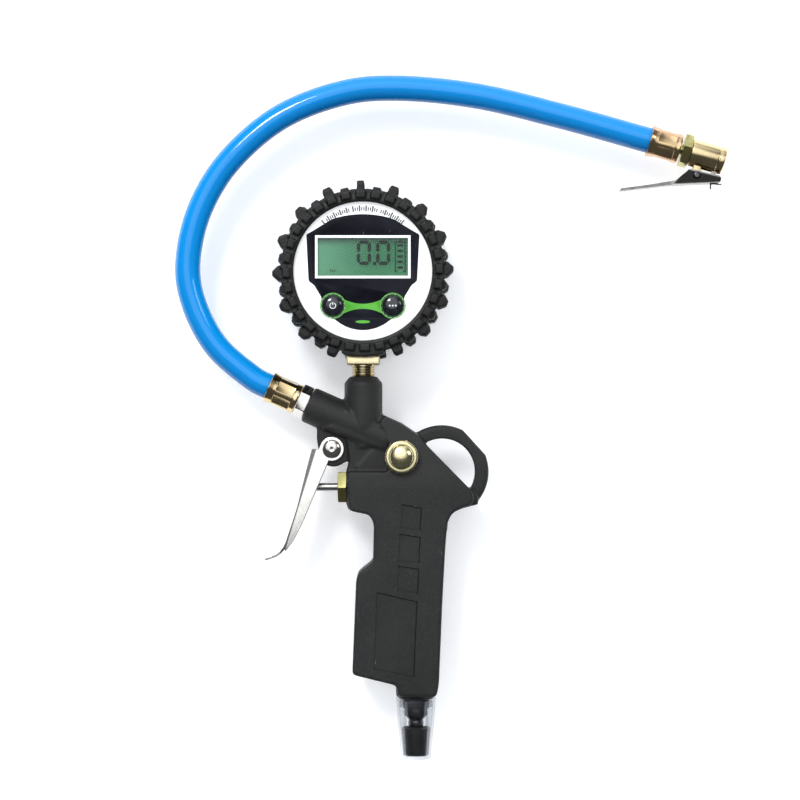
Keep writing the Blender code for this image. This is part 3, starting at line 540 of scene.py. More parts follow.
def make_valve():
    valve = along((0, 0, VALVE_Z), RIGHT)
    nut = hex_piece("gland_nut", valve,
                    [(0, -0.0270), (0.0049, -0.0270), (0.0049, -0.0328), (0.0060, -0.0330), (0.0060, -0.0367),
                     (0, -0.0367)],
                    (HEX_ACROSS, -0.0366, -0.0326, 0.0005),
                    (-0.0200, (0.0038, -0.0292), (0.0022, -0.0400)), turn=0)
    ride(nut, ROOT, "valve_gland_nut", slot="brass")
    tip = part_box("pushrod")[0].x
    rod = lathe("push_rod", valve,
                [(0, -0.0040), (0.0019, -0.0040), (0.0019, tip + 0.0016), (0.0014, tip + 0.0005),
                 (0.0007, tip), (0, tip)], 48, edge=0.0003)
    ride(rod, "valve_rod", "pushrod", slot="steel")


def make_bleed_valve():
    place = along(BLEED, FRONT)
    nut = hex_piece("bleed_flange", place,
                    [(0, 0.0146), (0.0070, 0.0146), (0.0077, 0.0140), (0.0077, 0.0129), (0.0050, 0.0127),
                     (0.0050, 0.0103), (0.0041, 0.0103), (0.0041, 0.0034), (0, 0.0034)],
                    (HEX_ACROSS, 0.0104, 0.0129, 0.0004),
                    (0.0200, (0.0060, 0.0117), (0.0020, 0)), turn=12)
    ride(nut, ROOT, "bleed_nut", slot="brass")
    button = lathe("bleed_cap", place,
                   dome(0.0057, 0.0025, 0.0149)
                   + [(0.0057, 0.0143), (0.0045, 0.0143), (0.0045, 0.0146), (0.0020, 0.0146),
                      (0.0020, 0.0162), (0, 0.0162)], 96, edge=0.0001, shading=60)
    ride(button, "bleed_plunger", "bleed_button", slot="brass")


# ---------------------------------------------------------------- air inlet

def make_inlet():
    place = along((0, 0, 0), UP)
    plug = hex_piece("coupler_plug", place,
                     [(0, 0.0400), (0.0064, 0.0400), (0.0064, 0.0273), (0.0050, 0.0271), (0.0050, 0.0241),
                      (0.00545, 0.0236), (0.00545, 0.0202), (0.0040, 0.0190), (0.0034, 0.0180),
                      (0.0036, 0.0170), (0.0036, 0.0157), (0.0031, 0.0150), (0, 0.0150)],
                     (0.0136, 0.0240, 0.0274, 0.0004), (0.0500, (0.0022, 0.0100)))
    ride(plug, ROOT, "inlet_plug", slot="steel")
    cap = lathe("clear_cap", place,
                [(0, 0.0013), (0.0061, 0.0013), (0.0086, 0.0286), (0.0095, 0.0286), (0.0071, 0.0006),
                 (0.0066, 0), (0, 0)], 96, edge=0.0003)
    ride(cap, "cap", "inlet_cap", slot="clear_plastic")
    bung = lathe("cap_insert", place,
                 [(0, 0.0120), (0.0038, 0.0120), (0.0044, 0.0144), (0.0068, 0.0144), (0.0058, 0.0016),
                  (0, 0.0016)], 72, edge=0.0004)
    ride(bung, "cap", "inlet_cap_bung", slot="seal_rubber")


# ---------------------------------------------------------------- gauge

def on_dial(points):
    """Outline points given from the dial's centre."""
    return [(GAUGE.x + p[0], GAUGE.z + p[1]) for p in points]


def dial_rectangle(low, high):
    """A rectangle between two opposite corners, given from the dial's centre."""
    return on_dial([low, (high[0], low[1]), high, (low[0], high[1])])


def button_centre(side):
    return (GAUGE.x + side * 0.01385, 0, GAUGE.z - 0.0160)


def mirrored(half):
    """A closed outline from its right half, listed from top to bottom."""
    left = [(-x, z) for x, z in reversed(half) if x > 1e-6]
    return list(half) + left


def round_dial(angle):
    """A matrix that turns what points up from the dial's centre to an angle counted from the right."""
    return Matrix.Translation(GAUGE) @ Matrix.Rotation(math.radians(90 - angle), 4, 'Y')


def lug_outline(angle, base, reach):
    """A tread lug's section: narrow and square at the top of the boot, wide and pointed at its sides."""
    side = abs(math.cos(math.radians(angle)))
    half = 0.0017 + 0.0019 * side
    tip = half * (0.92 - 0.62 * side)
    shoulder = reach - 0.0007 - 0.0020 * side
    return [(-half, base), (-half, shoulder), (-tip, reach), (tip, reach), (half, shoulder), (half, base)]


def lug(angle, reach, near, far):
    """One tread lug, its front and back ends chamfered."""
    outline = lug_outline(angle, 0.0345, reach)
    shape = bmesh.new()
    drop, slope = 0.0011, 0.0014
    ends = []
    for depth, inset in ((near, drop), (near + slope, 0), (far - slope, 0), (far, drop)):
        ends.append([shape.verts.new((x, depth, r - (inset if r > 0.036 else 0))) for x, r in outline])
    shape.faces.new(ends[0])
    shape.faces.new(ends[-1][::-1])
    for a, b in zip(ends, ends[1:]):
        band(shape, a, b)
    bmesh.ops.recalc_face_normals(shape, faces=shape.faces)
    return from_shape("lug", shape, round_dial(angle))


def boot_pad(angle, face, outer, depth, width=3.7):
    """A raised pad on the boot's side wall."""
    points = arc((0, 0), 0.0338, angle - width, angle + width, 4)
    points += arc((0, 0), outer, angle + width * 0.9, angle - width * 0.9, 4)
    near, far = sorted((face, face + depth))
    return prism("pad", on_dial(points), near, far)


def make_boot():
    place = along(GAUGE, FRONT)
    boot = lathe("boot", place,
                 [(0.0330, 0.0190), (0.0348, 0.0188), (0.0364, 0.0176), (0.0372, 0.0150), (0.0372, -0.0150),
                  (0.0366, -0.0178), (0.0350, -0.0190), (0.0321, -0.0190), (0.0318, -0.0148),
                  (0.0343, -0.0145), (0.0343, 0.0168), (0.0320, 0.0168), (0.0321, 0.0186)], 160, edge=0.0003)
    shapes = []
    count, first = 16, 91.5           # lugs in a row, and the angle of the first
    for i in range(count):
        angle = first + 360 / count * i
        if i != count // 2:
            shapes.append(lug(angle, 0.0421, -0.0170, -0.0016))
            shapes.append(lug(angle, 0.0388, 0.0070, 0.0180))
        shapes.append(lug(angle + 180 / count, 0.0408, 0.0012, 0.0184))
        shapes.append(lug(angle + 180 / count, 0.0396, -0.0160, -0.0070))
    for i in range(2 * count):
        angle = first + 180 / count * i
        shapes.append(boot_pad(angle, -0.0199, 0.0370, 0.0030))
        shapes.append(boot_pad(angle, 0.0165, 0.0370, 0.0030))
        shapes.append(boot_pad(angle + 90 / count, -0.0184, 0.0381, 0.0030, 2.2))
    shapes.append(boot_pad(270, -0.0188, 0.0393, 0.0376, 16))
    join(boot, *shapes)
    cut(boot, stepped(along((NECK_X, 0, 0), UP), 0.2000, (0.0051, 0.1897), (0.0087, 0.1800), segments=64))
    blend_shape(boot, 0.00038, 2)
    shade(boot, 60)
    return ride(boot, ROOT, "gauge_boot", slot="boot_rubber")


DIAL_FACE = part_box("dial_plate")[0].y
LCD_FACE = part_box("lcd_module")[0].y
PRINT = 0.00006                       # thickness of a printed layer
SEGMENT = 0.00015                     # thickness of a display segment
WINDOW_LOW = (-0.0221, -0.0033)
WINDOW_HIGH = (0.0221, 0.0166)


def make_prints():
    """The dial's printed layers, each a thin film."""
    half = arc((0, -0.0196), 0.0460, 90, 72, 8)
    half += [(0.0236, 0.0184), (0.0262, 0.0170), (0.0251, -0.0046), (0.0226, -0.0064), (0.0192, -0.0120),
             (0.0186, -0.0190), (0.0135, -0.0222)]
    half += arc((0, -0.0080), 0.0193, -48, -90, 8)
    outline = fillet(mirrored(half), 0.0009, closed=True)
    navy = prism("dial_panel", on_dial(outline), DIAL_FACE - PRINT, DIAL_FACE)
    window = prism("window", dial_rectangle(WINDOW_LOW, WINDOW_HIGH), DIAL_FACE - 0.002, DIAL_FACE + 0.002)
    places = [along(button_centre(side), FRONT) for side in (-1, 1)]
    cut(navy, window, *[stepped(place, 0.03, (0.0055, 0)) for place in places])
    ride(navy, ROOT, slot="printed_panel")

    near, far = DIAL_FACE - 2 * PRINT, DIAL_FACE - 0.2 * PRINT
    arch = arc((0, 0.0045), 0.0196, 238, 302, 12) + arc((0, -0.0370), 0.0196, 60, 120, 12)
    turns = [2 * math.pi * i / 24 for i in range(24)]
    oval = [(0.0034 * math.cos(t), -0.0234 + 0.0007 * math.sin(t)) for t in turns]
    green = prism("green_band", on_dial(arch), near, far)
    leaf = prism("green_leaf", on_dial(oval), near, far)
    cut(green, *[stepped(place, 0.03, (0.0058, 0)) for place in places])
    inner, outer, base, face = 0.00558, 0.0060, -DIAL_FACE, -DIAL_FACE + 3 * PRINT
    rings = [lathe(name, place, [(outer, face), (outer, base), (inner, base), (inner, face)], 72, edge=0)
             for name, place in zip(("green_ring_left", "green_ring_right"), places)]
    for piece in [green, leaf] + rings:
        ride(piece, ROOT, slot="printed_panel")
    ticks = []
    for step in range(40):
        angle = 51 + 78 * step / 39
        if step % 13 == 12:
            continue                  # a gap after every twelve ticks
        tall = step % 3 == 0
        inner, outer, half_width = (0.0277, 0.0304, 0.00036) if tall else (0.0281, 0.0297, 0.00028)
        ticks.append(block("tick", (-half_width, DIAL_FACE - PRINT, inner), (half_width, DIAL_FACE, outer),
                           place=round_dial(angle)))
    marks = merge("dial_ticks", ticks)
    ride(marks, ROOT, slot="printed_panel")
    return {"navy": [navy], "green": [green, leaf] + rings, "ink": [marks]}


def merge(name, objects):
    """One object from several that don't touch."""
    shape = bmesh.new()
    for obj in objects:
        shape.from_mesh(obj.data)
        bpy.data.objects.remove(obj, do_unlink=True)
    return from_shape(name, shape)


def lcd_bar(x0, z0, x1, z1, half=0.00082):
    """A display segment: a straight bar with mitred ends."""
    start, end = Vector((x0, z0)), Vector((x1, z1))
    step = (end - start).normalized()
    side = Vector((-step.y, step.x)) * half
    points = [start, start + step * half + side, end - step * half + side, end, end - step * half - side,
              start + step * half - side]
    return prism("bar", on_dial(points), LCD_FACE - SEGMENT, LCD_FACE)


def make_display():
    """Two digits, a battery sign and plain unit bars, with the window's white rim."""
    bars = []
    for left in (-0.0020, 0.0069):
        right, low, high = left + 0.0050, 0.0037, 0.0135
        centre, gap = (low + high) / 2, 0.00018
        bars += [lcd_bar(left + gap, high, right - gap, high), lcd_bar(left + gap, low, right - gap, low)]
        for x in (left, right):
            bars += [lcd_bar(x, high - gap, x, centre + gap), lcd_bar(x, centre - gap, x, low + gap)]
    plain = [(0.0047, 0.0028, 0.0062, 0.0043)]
    plain += [(0.0159, z - 0.00055, 0.0186, z + 0.00055) for z in (0.0120, 0.0095, 0.0069, 0.0044, 0.0018)]
    plain += [(0.0148, -0.0004, 0.0160, 0.0002), (0.0186, -0.0004, 0.0198, 0.0002),
              (0.0148, -0.0004, 0.0153, 0.0137), (0.0193, -0.0004, 0.0198, 0.0137),
              (0.0148, 0.0132, 0.0198, 0.0137), (0.0166, 0.0137, 0.0180, 0.0144)]
    plain += [(-0.0150, -0.0004, -0.0147, 0.0012), (-0.0142, -0.0004, -0.0139, 0.0006),
              (-0.0134, -0.0004, -0.0131, 0.0009), (-0.0126, -0.0004, -0.0123, 0.0006)]
    for x0, z0, x1, z1 in plain:
        bars.append(prism("bar", dial_rectangle((x0, z0), (x1, z1)), LCD_FACE - SEGMENT, LCD_FACE))
    digits = merge("display_segments", bars)
    ride(digits, ROOT, slot="display_glass")
    rim = prism("window_rim", dial_rectangle(WINDOW_LOW, WINDOW_HIGH), DIAL_FACE - 0.0003, DIAL_FACE + 0.0002,
                0.0001, 1)
    rim_width = 0.0012
    opening = dial_rectangle([c + rim_width for c in WINDOW_LOW], [c - rim_width for c in WINDOW_HIGH])
    cut(rim, prism("opening", opening, DIAL_FACE - 0.01, DIAL_FACE + 0.01))
    ride(rim, ROOT, slot="printed_panel")
    return digits, rim


def make_buttons():
    """Domed buttons with generic marks: a power sign and three dots."""
    made = []
    for side, node, body in ((-1, "button_on", "on_button"), (1, "button_mode", "function_button")):
        centre = button_centre(side)
        place = along(centre, FRONT)
        button = lathe(f"dome_{node}", place,
                       [(0, 0.0178), (0.0020, 0.0177), (0.0036, 0.0173), (0.0046, 0.0167), (0.0052, 0.0158),
                        (0.0052, 0.0138), (0.0062, 0.0138), (0.0062, 0.0130), (0.0015, 0.0130),
                        (0.0015, 0.0122), (0, 0.0122)], 96, edge=0.0006, shading=60)
        ride(button, body, node, slot="gloss_black")
        ring = lathe(f"ring_{node}", place, [(0.00487, 0.01662), (0.00500, 0.01645), (0.00500, 0.0160),
                                             (0.00475, 0.0160), (0.00475, 0.01672)], 72, edge=0)
        ride(ring, body, slot="printed_panel")
        shapes = []
        if side < 0:
            sign = lathe("sign", place, [(0.00150, 0.01785), (0.00150, 0.0174), (0.00118, 0.0174),
                                         (0.00118, 0.01785)], 48, edge=0)
            cut(sign, block("gap", (-0.0006, -0.02, 0.0008), (0.0006, -0.01, 0.0020),
                            place=Matrix.Translation(centre)))
            shapes.append(sign)
            shapes.append(block("stroke", (-0.00017, -0.01787, 0.0003), (0.00017, -0.0174, 0.0017),
                                place=Matrix.Translation(centre)))
        else:
            for x in (-0.0014, 0, 0.0014):
                dot = Vector(centre) + Vector((x, 0, 0))
                shapes.append(stepped(along(dot, FRONT), 0.01785, (0.00042, 0.0172), segments=24))
        mark = merge(f"mark_{node}", shapes)
        ride(mark, body, slot="printed_panel")
        made.append((button, ring, mark))
    return made


def make_stem():
    """The gauge's brass stem: a threaded neck under a wide flat-sided block."""
    place = along((NECK_X, 0, 0), UP)
    thread = [(0.0056, 0.1846)]
    for turn in range(4):
        height = 0.1842 - turn * 0.0012
        thread += [(0.0056, height), (0.0050, height - 0.0004), (0.0050, height - 0.0006),
                   (0.0056, height - 0.0010)]
    stem = lathe("gauge_hex", place,
                 [(0, 0.2030), (0.0047, 0.2030), (0.0047, 0.1885)]
                 + thread + [(0.0049, 0.1794), (0.0048, 0.1780), (0.0048, 0.1712), (0, 0.1712)], edge=0)
    half_width, half_depth = 0.00775, 0.0068
    join(stem, block("flats", (NECK_X - half_width, -half_depth, 0.1847),
                     (NECK_X + half_width, half_depth, 0.1894), 0.0007))
    cut(stem, stepped(place, 0.2100, (0.0015, 0.1600), segments=64))
    shade(stem, 35)
    even_normals(stem)
    return ride(stem, ROOT, "gauge_stem", slot="brass")


def make_screws():
    """Cross-head screws in place of the plain ones."""
    bodies = {f"case_screw_{number}": ROOT for number in range(1, 5)}
    bodies["battery_door_screw"] = "door"
    for node, body in bodies.items():
        low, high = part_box(node)
        centre = Vector(((low.x + high.x) / 2, 0, (low.z + high.z) / 2))
        place = along(centre, -FRONT)
        head, tip, reach, half = high.y, low.y, 0.0013, 0.00022
        screw = lathe(f"cross_{node}", place,
                      [(0, head), (0.0012, head), (0.0019, head - 0.0003), (0.0022, head - 0.0008),
                       (0.0022, head - 0.0012), (0.0010, head - 0.0012), (0.0010, tip + 0.0005),
                       (0.0007, tip), (0, tip)], 48, edge=0.0001)
        cut(screw, *[block("arm", (-x, -y, head - 0.0008), (x, y, head + 0.0005), 0.00008, 1, place)
                     for x, y in ((reach, half), (half, reach))])
        ride(screw, body, node, slot="steel")


# ---------------------------------------------------------------- hose and chuck

HOSE_RADIUS = 0.0060
HOSE_BORE = 0.0033
AIR_PASSAGE = (0.0300, (0.0015, -0.0200))   # the bore through a barbed fitting


def barb_profile():
    """The barb inside the hose, from its tip to its shoulder."""
    profile = [(0, 0.0190)]
    for ridge in range(4):
        top = 0.0190 - ridge * 0.0034
        profile += [(0.0025, top), (0.0031, top - 0.0026), (0.0025, top - 0.0028)]
    return profile + [(0.0025, 0.0040)]


def make_hose_fitting():
    fitting = hex_piece("hose_hexagon", along(BARREL_END, BARREL_DIRECTION),
                        barb_profile()
                        + [(0.0060, 0.0038), (0.0062, 0.0020), (0.0062, -0.0095), (0, -0.0095)],
                        (HEX_ACROSS, 0.0003, 0.0051, 0.0005), AIR_PASSAGE)
    ride(fitting, ROOT, "hose_fitting", slot="nickel_plate")
    tail = hex_piece("chuck_hexagon", along(CHUCK_REAR, -CHUCK_DIRECTION),
                     barb_profile() + [(0.0046, 0.0020), (0.0046, -0.0040), (0, -0.0040)],
                     (HEX_ACROSS, 0.0003, 0.0042, 0.0004), AIR_PASSAGE, turn=8)
    ride(tail, ROOT, "chuck_tail", slot="brass")


def make_ferrules():
    """Crimped ferrules: six pressed flats between a collar and a flared mouth."""
    for name, node, end, direction in (("crimp_gun", "ferrule_gun", BARREL_END, BARREL_DIRECTION),
                                       ("crimp_chuck", "ferrule_chuck", CHUCK_REAR, -CHUCK_DIRECTION)):
        place = along(end + direction * 0.0053, direction)
        ferrule = lathe(name, place,
                        [(0.0065, 0.0148), (0.0075, 0.0148), (0.0074, 0.0142), (0.0071, 0.0126),
                         (0.0070, 0.0112), (0.0070, 0.0030), (0.0069, 0.0018), (0.0071, 0.0006),
                         (0.0068, 0), (0.0063, 0), (0.0063, 0.0130)], 120, edge=0.0003)
        flats = []
        for side in range(6):
            spin = place @ Matrix.Rotation(math.radians(60 * side + 20), 4, 'Z')
            flats.append(block("flat", (0.00648, -0.0026, 0.0026), (0.0082, 0.0026, 0.0112), 0.00035, 3,
                               spin))
        cut(ferrule, *flats)
        shade(ferrule, 28)
        ride(ferrule, ROOT, node, slot="brass")


def sweep(name, path, radius, bore_radius, segments=56):
    """A hollow tube along a path that lies in the XZ plane."""
    shape = bmesh.new()
    depth = Vector((0, 1, 0))
    skins = []
    for size in (radius, bore_radius):
        rings = []
        for i, point in enumerate(path):
            ahead = (path[min(i + 1, len(path) - 1)] - path[max(i - 1, 0)]).normalized()
            side = ahead.cross(depth).normalized()
            ring = []
            for k in range(segments):
                angle = 2 * math.pi * k / segments
                ring.append(shape.verts.new(point + side * (size * math.cos(angle))
                                            + depth * (size * math.sin(angle))))
            rings.append(ring)
        for a, b in zip(rings, rings[1:]):
            band(shape, a, b)
        skins.append(rings)
    for end in (0, -1):
        band(shape, skins[0][end], skins[1][end])
    bmesh.ops.recalc_face_normals(shape, faces=shape.faces)
    return shade(from_shape(name, shape))


def make_hose():
    start = BARREL_END + BARREL_DIRECTION * 0.0055
    end = CHUCK_REAR - CHUCK_DIRECTION * 0.0055
    bends = [(-0.0782, 0.1797), (-0.0945, 0.1945), (-0.1048, 0.2148), (-0.1072, 0.2341), (-0.1015, 0.2582),
             (-0.0875, 0.2810), (-0.0640, 0.3011), (-0.0350, 0.3125), (-0.0075, 0.3149), (0.0290, 0.3112),
             (0.0680, 0.3019)]
    path = [start, start + BARREL_DIRECTION * 0.0140]
    path += [Vector((x, 0, z)) for x, z in bends]
    path += [end - CHUCK_DIRECTION * 0.0200, end]
    hose = sweep("air_hose", smooth_path(path, 16), HOSE_RADIUS, HOSE_BORE)
    return ride(hose, ROOT, "hose", slot="hose_rubber")


def make_chuck():
    place = along(CHUCK_REAR, CHUCK_DIRECTION)
    body = lathe("chuck_barrel", place,
                 [(0.0059, 0.0164), (0.0064, 0.0159), (0.0064, 0.0139), (0.00615, 0.0137), (0.00615, 0.0130),
                  (0.0064, 0.0128), (0.0064, 0.0006), (0.0062, 0), (0.0049, 0), (0.0049, 0.0050),
                  (0.0018, 0.0050), (0.0018, 0.0070), (0.0046, 0.0070), (0.0046, 0.0150), (0.0050, 0.0164)],
                 120, edge=0.00015)
    outline = arc(CLIP_PIVOT.xz, 0.0023, 170, 370, 18) + [(0.1338, 0.2790), (0.1305, 0.2800)]
    lug_plate = prism("chuck_lug", outline, -0.0030, 0.0030, 0.0003)
    cut(lug_plate, stepped(place, 0.04, (0.0055, -0.02), segments=96))
    join(body, lug_plate)
    cut(body, block("slot", (0.1385, -0.0024, 0.2700), (0.1428, 0.0024, 0.2800)),
        stepped(along(CLIP_PIVOT, FRONT), 0.01, (0.0012, -0.01)))
    shade(body, 30)
    ride(body, ROOT, "chuck_body", slot="brass")


def make_clip():
    """The clip lever: folded sheet with two side plates, a ribbed tail and a tooth."""
    outline = [(0.0956, 0.2662), (0.1211, 0.2693), (0.1424, 0.2702), (0.1431, 0.2720), (0.1424, 0.2734),
               (0.1284, 0.2767), (0.1265, 0.2752), (0.1215, 0.2712), (0.1090, 0.2692), (0.0957, 0.2675)]
    hollow = [(0.0930, 0.2671), (0.0970, 0.2672), (0.1090, 0.2685), (0.1211, 0.2700), (0.1500, 0.2708),
              (0.1500, 0.2800), (0.0930, 0.2800)]
    tooth = [(0.1388, 0.2695), (0.1408, 0.2695), (0.1408, 0.2766), (0.1400, 0.2771), (0.1388, 0.2760)]
    clip = prism("clip", fillet(outline, 0.0006, 3, closed=True), -0.0040, 0.0040)
    cut(clip, prism("hollow", hollow, -0.0034, 0.0034))
    join(clip, prism("tooth", tooth, -0.0020, 0.0020, 0.0002, 2))
    pin_hole = stepped(along(CLIP_PIVOT, FRONT), 0.01, (0.0012, -0.01))
    ribs = []
    for i in range(5):
        x = 0.0982 + i * 0.0014
        centre = Vector((x, 0, 0.2662 + (x - 0.0956) * 0.1216))
        ribs.append(stepped(along(centre, FRONT), 0.0050, (0.00028, -0.0050), segments=16))
    cut(clip, pin_hole, *ribs)
    soften_edges(clip, 0.0001)
    shade(clip, 35)
    even_normals(clip)
    ride(clip, "clip", "clip_lever", slot="nickel_plate")
    tongue = merge("clip_tongue", [
        stepped(along((0.1385, 0, 0), UP), 0.2700, (0.00035, 0.2674), segments=16),
        stepped(along((0, 0.0020, 0.2699), RIGHT), 0.1440, (0.0003, 0.1392), segments=16)])
    ride(tongue, "clip", slot="nickel_plate")
    head = [(0, 0.0049), (0.0010, 0.0049), (0.0018, 0.0045), (0.0018, 0.0043), (0.0009, 0.0043)]
    pin = lathe("clip_rivet", along(CLIP_PIVOT, FRONT), head + [(r, -h) for r, h in reversed(head)], 48,
                edge=0.0001)
    ride(pin, ROOT, "clip_pin", slot="steel")


# ---------------------------------------------------------------- materials

def linear(red, green, blue):
    """A linear colour from sRGB levels out of 255."""
    levels = []
    for level in (red, green, blue):
        part = level / 255
        levels.append(part / 12.92 if part <= 0.04045 else ((part + 0.055) / 1.055) ** 2.4)
    return (*levels, 1)


class Nodes:
    """Short calls that add shader nodes to a material or a world."""

    def __init__(self, holder, output="OutputMaterial", place="Object"):
        self.holder = holder
        holder.use_nodes = True
        self.tree = holder.node_tree
        self.tree.nodes.clear()
        self.output = self.node(output)
        self.place = self.node("TexCoord").outputs[place]

    def node(self, kind, *values, named=(), **settings):
        """A new node; the values feed its first inputs in order, the named ones feed those they name."""
        made = self.tree.nodes.new("ShaderNode" + kind)
        for key, value in settings.items():
            setattr(made, key, value)
        for socket, value in zip(made.inputs, values):
            self.feed(socket, value)
        for key, value in dict(named).items():
            self.feed(made.inputs[key], value)
        return made

    def feed(self, socket, value):
        if isinstance(value, bpy.types.NodeSocket):
            self.tree.links.new(value, socket)
        else:
            socket.default_value = value

    def stretched(self, scale, turn=(0, 0, 0)):
        return self.node("Mapping", self.place, (0, 0, 0), turn, scale).outputs[0]

    def noise(self, scale, detail=3, place=None):
        return self.node("TexNoise", named={"Vector": place or self.place, "Scale": scale, "Detail": detail,
                                            "Roughness": 0.55}).outputs[0]

    def range(self, value, low, high, from_low=0.3, from_high=0.7):
        return self.node("MapRange", value, from_low, from_high, low, high).outputs[0]

    def mix(self, factor, first, second):
        return self.node("Mix", data_type='RGBA', named={0: factor, 6: first, 7: second}).outputs[2]

    def blend(self, factor, first, second):
        return self.node("MixShader", factor, first, second).outputs[0]

    def maths(self, operation, first, second):
        return self.node("Math", first, second, operation=operation).outputs[0]

    def parts(self, vector):
        return self.node("SeparateXYZ", vector).outputs

    def ray(self, kind):
        return self.node("LightPath").outputs[f"Is {kind} Ray"]

    def geometry(self, output):
        return self.node("NewGeometry").outputs[output]

    def bump(self, height, strength, distance, under=None):
        made = self.node("Bump", named={"Strength": strength, "Distance": distance, "Height": height})
        if under:
            self.feed(made.inputs["Normal"], under)
        return made.outputs[0]

    def crevice_shade(self, distance, dark, color):
        """The colour with painted shade: darker within the distance of an inner corner."""
        near = self.node("AmbientOcclusion", samples=6, only_local=True, named={"Distance": distance})
        return self.mix(self.range(near.outputs["AO"], 1, 0, 0.45, 0.85), color, dark)

    def principled(self, color, roughness, normal, **values):
        named = {key.replace("_", " "): value for key, value in values.items()}
        named.update({"Base Color": color, "Roughness": roughness, "Normal": normal})
        return self.node("BsdfPrincipled", named=named).outputs[0]

    def done(self, shader):
        self.feed(self.output.inputs["Surface"], shader)
        return self.holder


def paint_box(name):
    return Nodes(bpy.data.materials.new(name))


def scaled(color, factor):
    """The colour made darker or lighter, with its alpha kept at 1."""
    return tuple(min(1, part * factor) for part in color[:3]) + (1,)


def powder_coat():
    """Matt grey powder coat: fine orange peel, pale grain specks, rubbed edges, a few scratches and painted
    shade along recesses and inner corners.
    """
    n = paint_box("powder coat")
    grain = n.noise(2600, 2)
    base = n.mix(n.range(n.noise(35, 4), 0, 1), linear(28, 29, 29), linear(37, 37, 37))
    base = n.mix(n.range(grain, 0, 0.5, 0.5, 0.75), base, linear(62, 62, 63))
    edge = n.range(n.geometry("Pointiness"), 0, 0.45, 0.53, 0.64)
    edge = n.maths('MULTIPLY', edge, n.range(n.noise(240, 4), 0, 1, 0.42, 0.62))
    base = n.mix(edge, base, linear(120, 120, 120))
    lines = n.range(n.noise(1, 1, n.stretched((2600, 2600, 150), (0.3, 0.9, 0))), 0, 1, 0.74, 0.80)
    scratch = n.maths('MULTIPLY', lines, n.range(n.noise(60, 2), 0, 1, 0.60, 0.66))
    base = n.mix(scratch, base, linear(150, 150, 150))
    # Painted shade: darker in the panel grooves and inner corners, where shade falls.
    base = n.crevice_shade(0.0011, linear(20, 20, 21), base)
    normal = n.bump(grain, 0.35, 0.00012, n.bump(n.noise(700, 2), 0.25, 0.0003))
    return n.done(n.principled(base, n.range(grain, 0.46, 0.62), normal, Specular_IOR_Level=0.35))


def metal(name, main, tint, tint_scale=60, rough=(0.14, 0.30), turning=0.25, spots=0.15, dents=0.22,
          crevice_shade=0.0008, painted_dark_area=None):
    """Plated or turned metal with tarnish clouds, hairlines and small pits, painted shade in inner corners
    and, where a mask is given, a painted dark area.
    """
    n = paint_box(name)
    color = n.mix(n.range(n.noise(tint_scale, 4), 0, 1, 0.38, 0.66), main, tint)
    color = n.mix(n.range(n.noise(900, 5), 0, spots, 0.56, 0.74), color, scaled(main, 0.35))
    # Painted shade in inner corners.
    if crevice_shade:
        color = n.crevice_shade(crevice_shade, scaled(tint, 0.18), color)
    # Painted shade and dark reflection over the area that the mask gives.
    if painted_dark_area:
        color = n.mix(painted_dark_area(n), color, scaled(tint, 0.12))
    lines = n.noise(1, 2, n.stretched((5200, 600, 5200)))
    roughness = n.maths('ADD', n.range(n.noise(220, 4), *rough), n.range(lines, -0.03, 0.05))
    normal = n.bump(lines, turning, 0.00006, n.bump(n.noise(320, 3), dents, 0.00015))
    return n.done(n.principled(color, roughness, normal, Metallic=1.0))


def facing_sides(n):
    """How far a surface faces the front or the back."""
    return n.maths('ABSOLUTE', n.parts(n.node("TexCoord").outputs["Normal"])["Y"], 0.0)


def plane_offset(n, point, normal):
    """How far a place lies beyond a plane that runs along Y."""
    across, up = Vector(normal).normalized()
    place = n.parts(n.place)
    total = n.maths('ADD', n.maths('MULTIPLY', place["X"], across), n.maths('MULTIPLY', place["Z"], up))
    return n.maths('SUBTRACT', total, across * point[0] + up * point[1])


def fold_painted_reflection(n):
    """Painted dark reflection on the rounded fold between the lever's web and its cheeks, inside a bright
    rim.
    """
    depth = plane_offset(n, (-0.0491, 0.1454), (0.955, -0.295))
    fold = n.maths('MULTIPLY', n.range(depth, 1, 0, 0.0022, 0.0026), n.range(depth, 0.2, 1, 0.0003, 0.0006))
    return n.maths('MULTIPLY', fold, n.range(facing_sides(n), 0, 0.9, 0.15, 0.35))


def clip_side_painted_shade(n):
    """Painted shade on the clip's side plates: dark inside a bright rim, paler along the tail."""
    rear = n.range(plane_offset(n, (0.1216, 0.2708), (0.72, -0.69)), 0, 1, 0, 0.0003)
    top = n.range(plane_offset(n, (0.1284, 0.2767), (0.2295, 0.9735)), 1, 0, -0.0008, -0.0005)
    foot = n.range(plane_offset(n, (0.1211, 0.2693), (-0.042, 0.999)), 0, 1, 0.0003, 0.0005)
    plate = n.maths('MULTIPLY', n.maths('MULTIPLY', rear, top), foot)
    tail = n.range(plane_offset(n, (0.1190, 0.2700), (1, 0)), 0.3, 0, 0, 0.0010)
    return n.maths('MULTIPLY', n.maths('MAXIMUM', plate, tail), n.range(facing_sides(n), 0, 1, 0.90, 0.97))


def rubber(name, main, light, rough, grain=1800):
    """Moulded rubber: bloom clouds, a fine skin grain, paler rubbed edges and painted shade in inner corners.
    """
    n = paint_box(name)
    base = n.mix(n.range(n.noise(70, 4), 0, 1), main, light)
    rim = n.maths('MULTIPLY', n.range(n.geometry("Pointiness"), 0, 0.35, 0.52, 0.66),
                  n.range(n.noise(400, 3), 0.3, 1))
    base = n.mix(rim, base, scaled(light, 3.2))
    # Painted shade: darker in the inner corners between lugs and pads.
    base = n.crevice_shade(0.0016, scaled(main, 0.25), base)
    fine = n.noise(grain, 3)
    normal = n.bump(fine, 0.3, 0.00010, n.bump(n.noise(260, 3), 0.15, 0.0003))
    return n.done(n.principled(base, n.range(fine, *rough), normal))


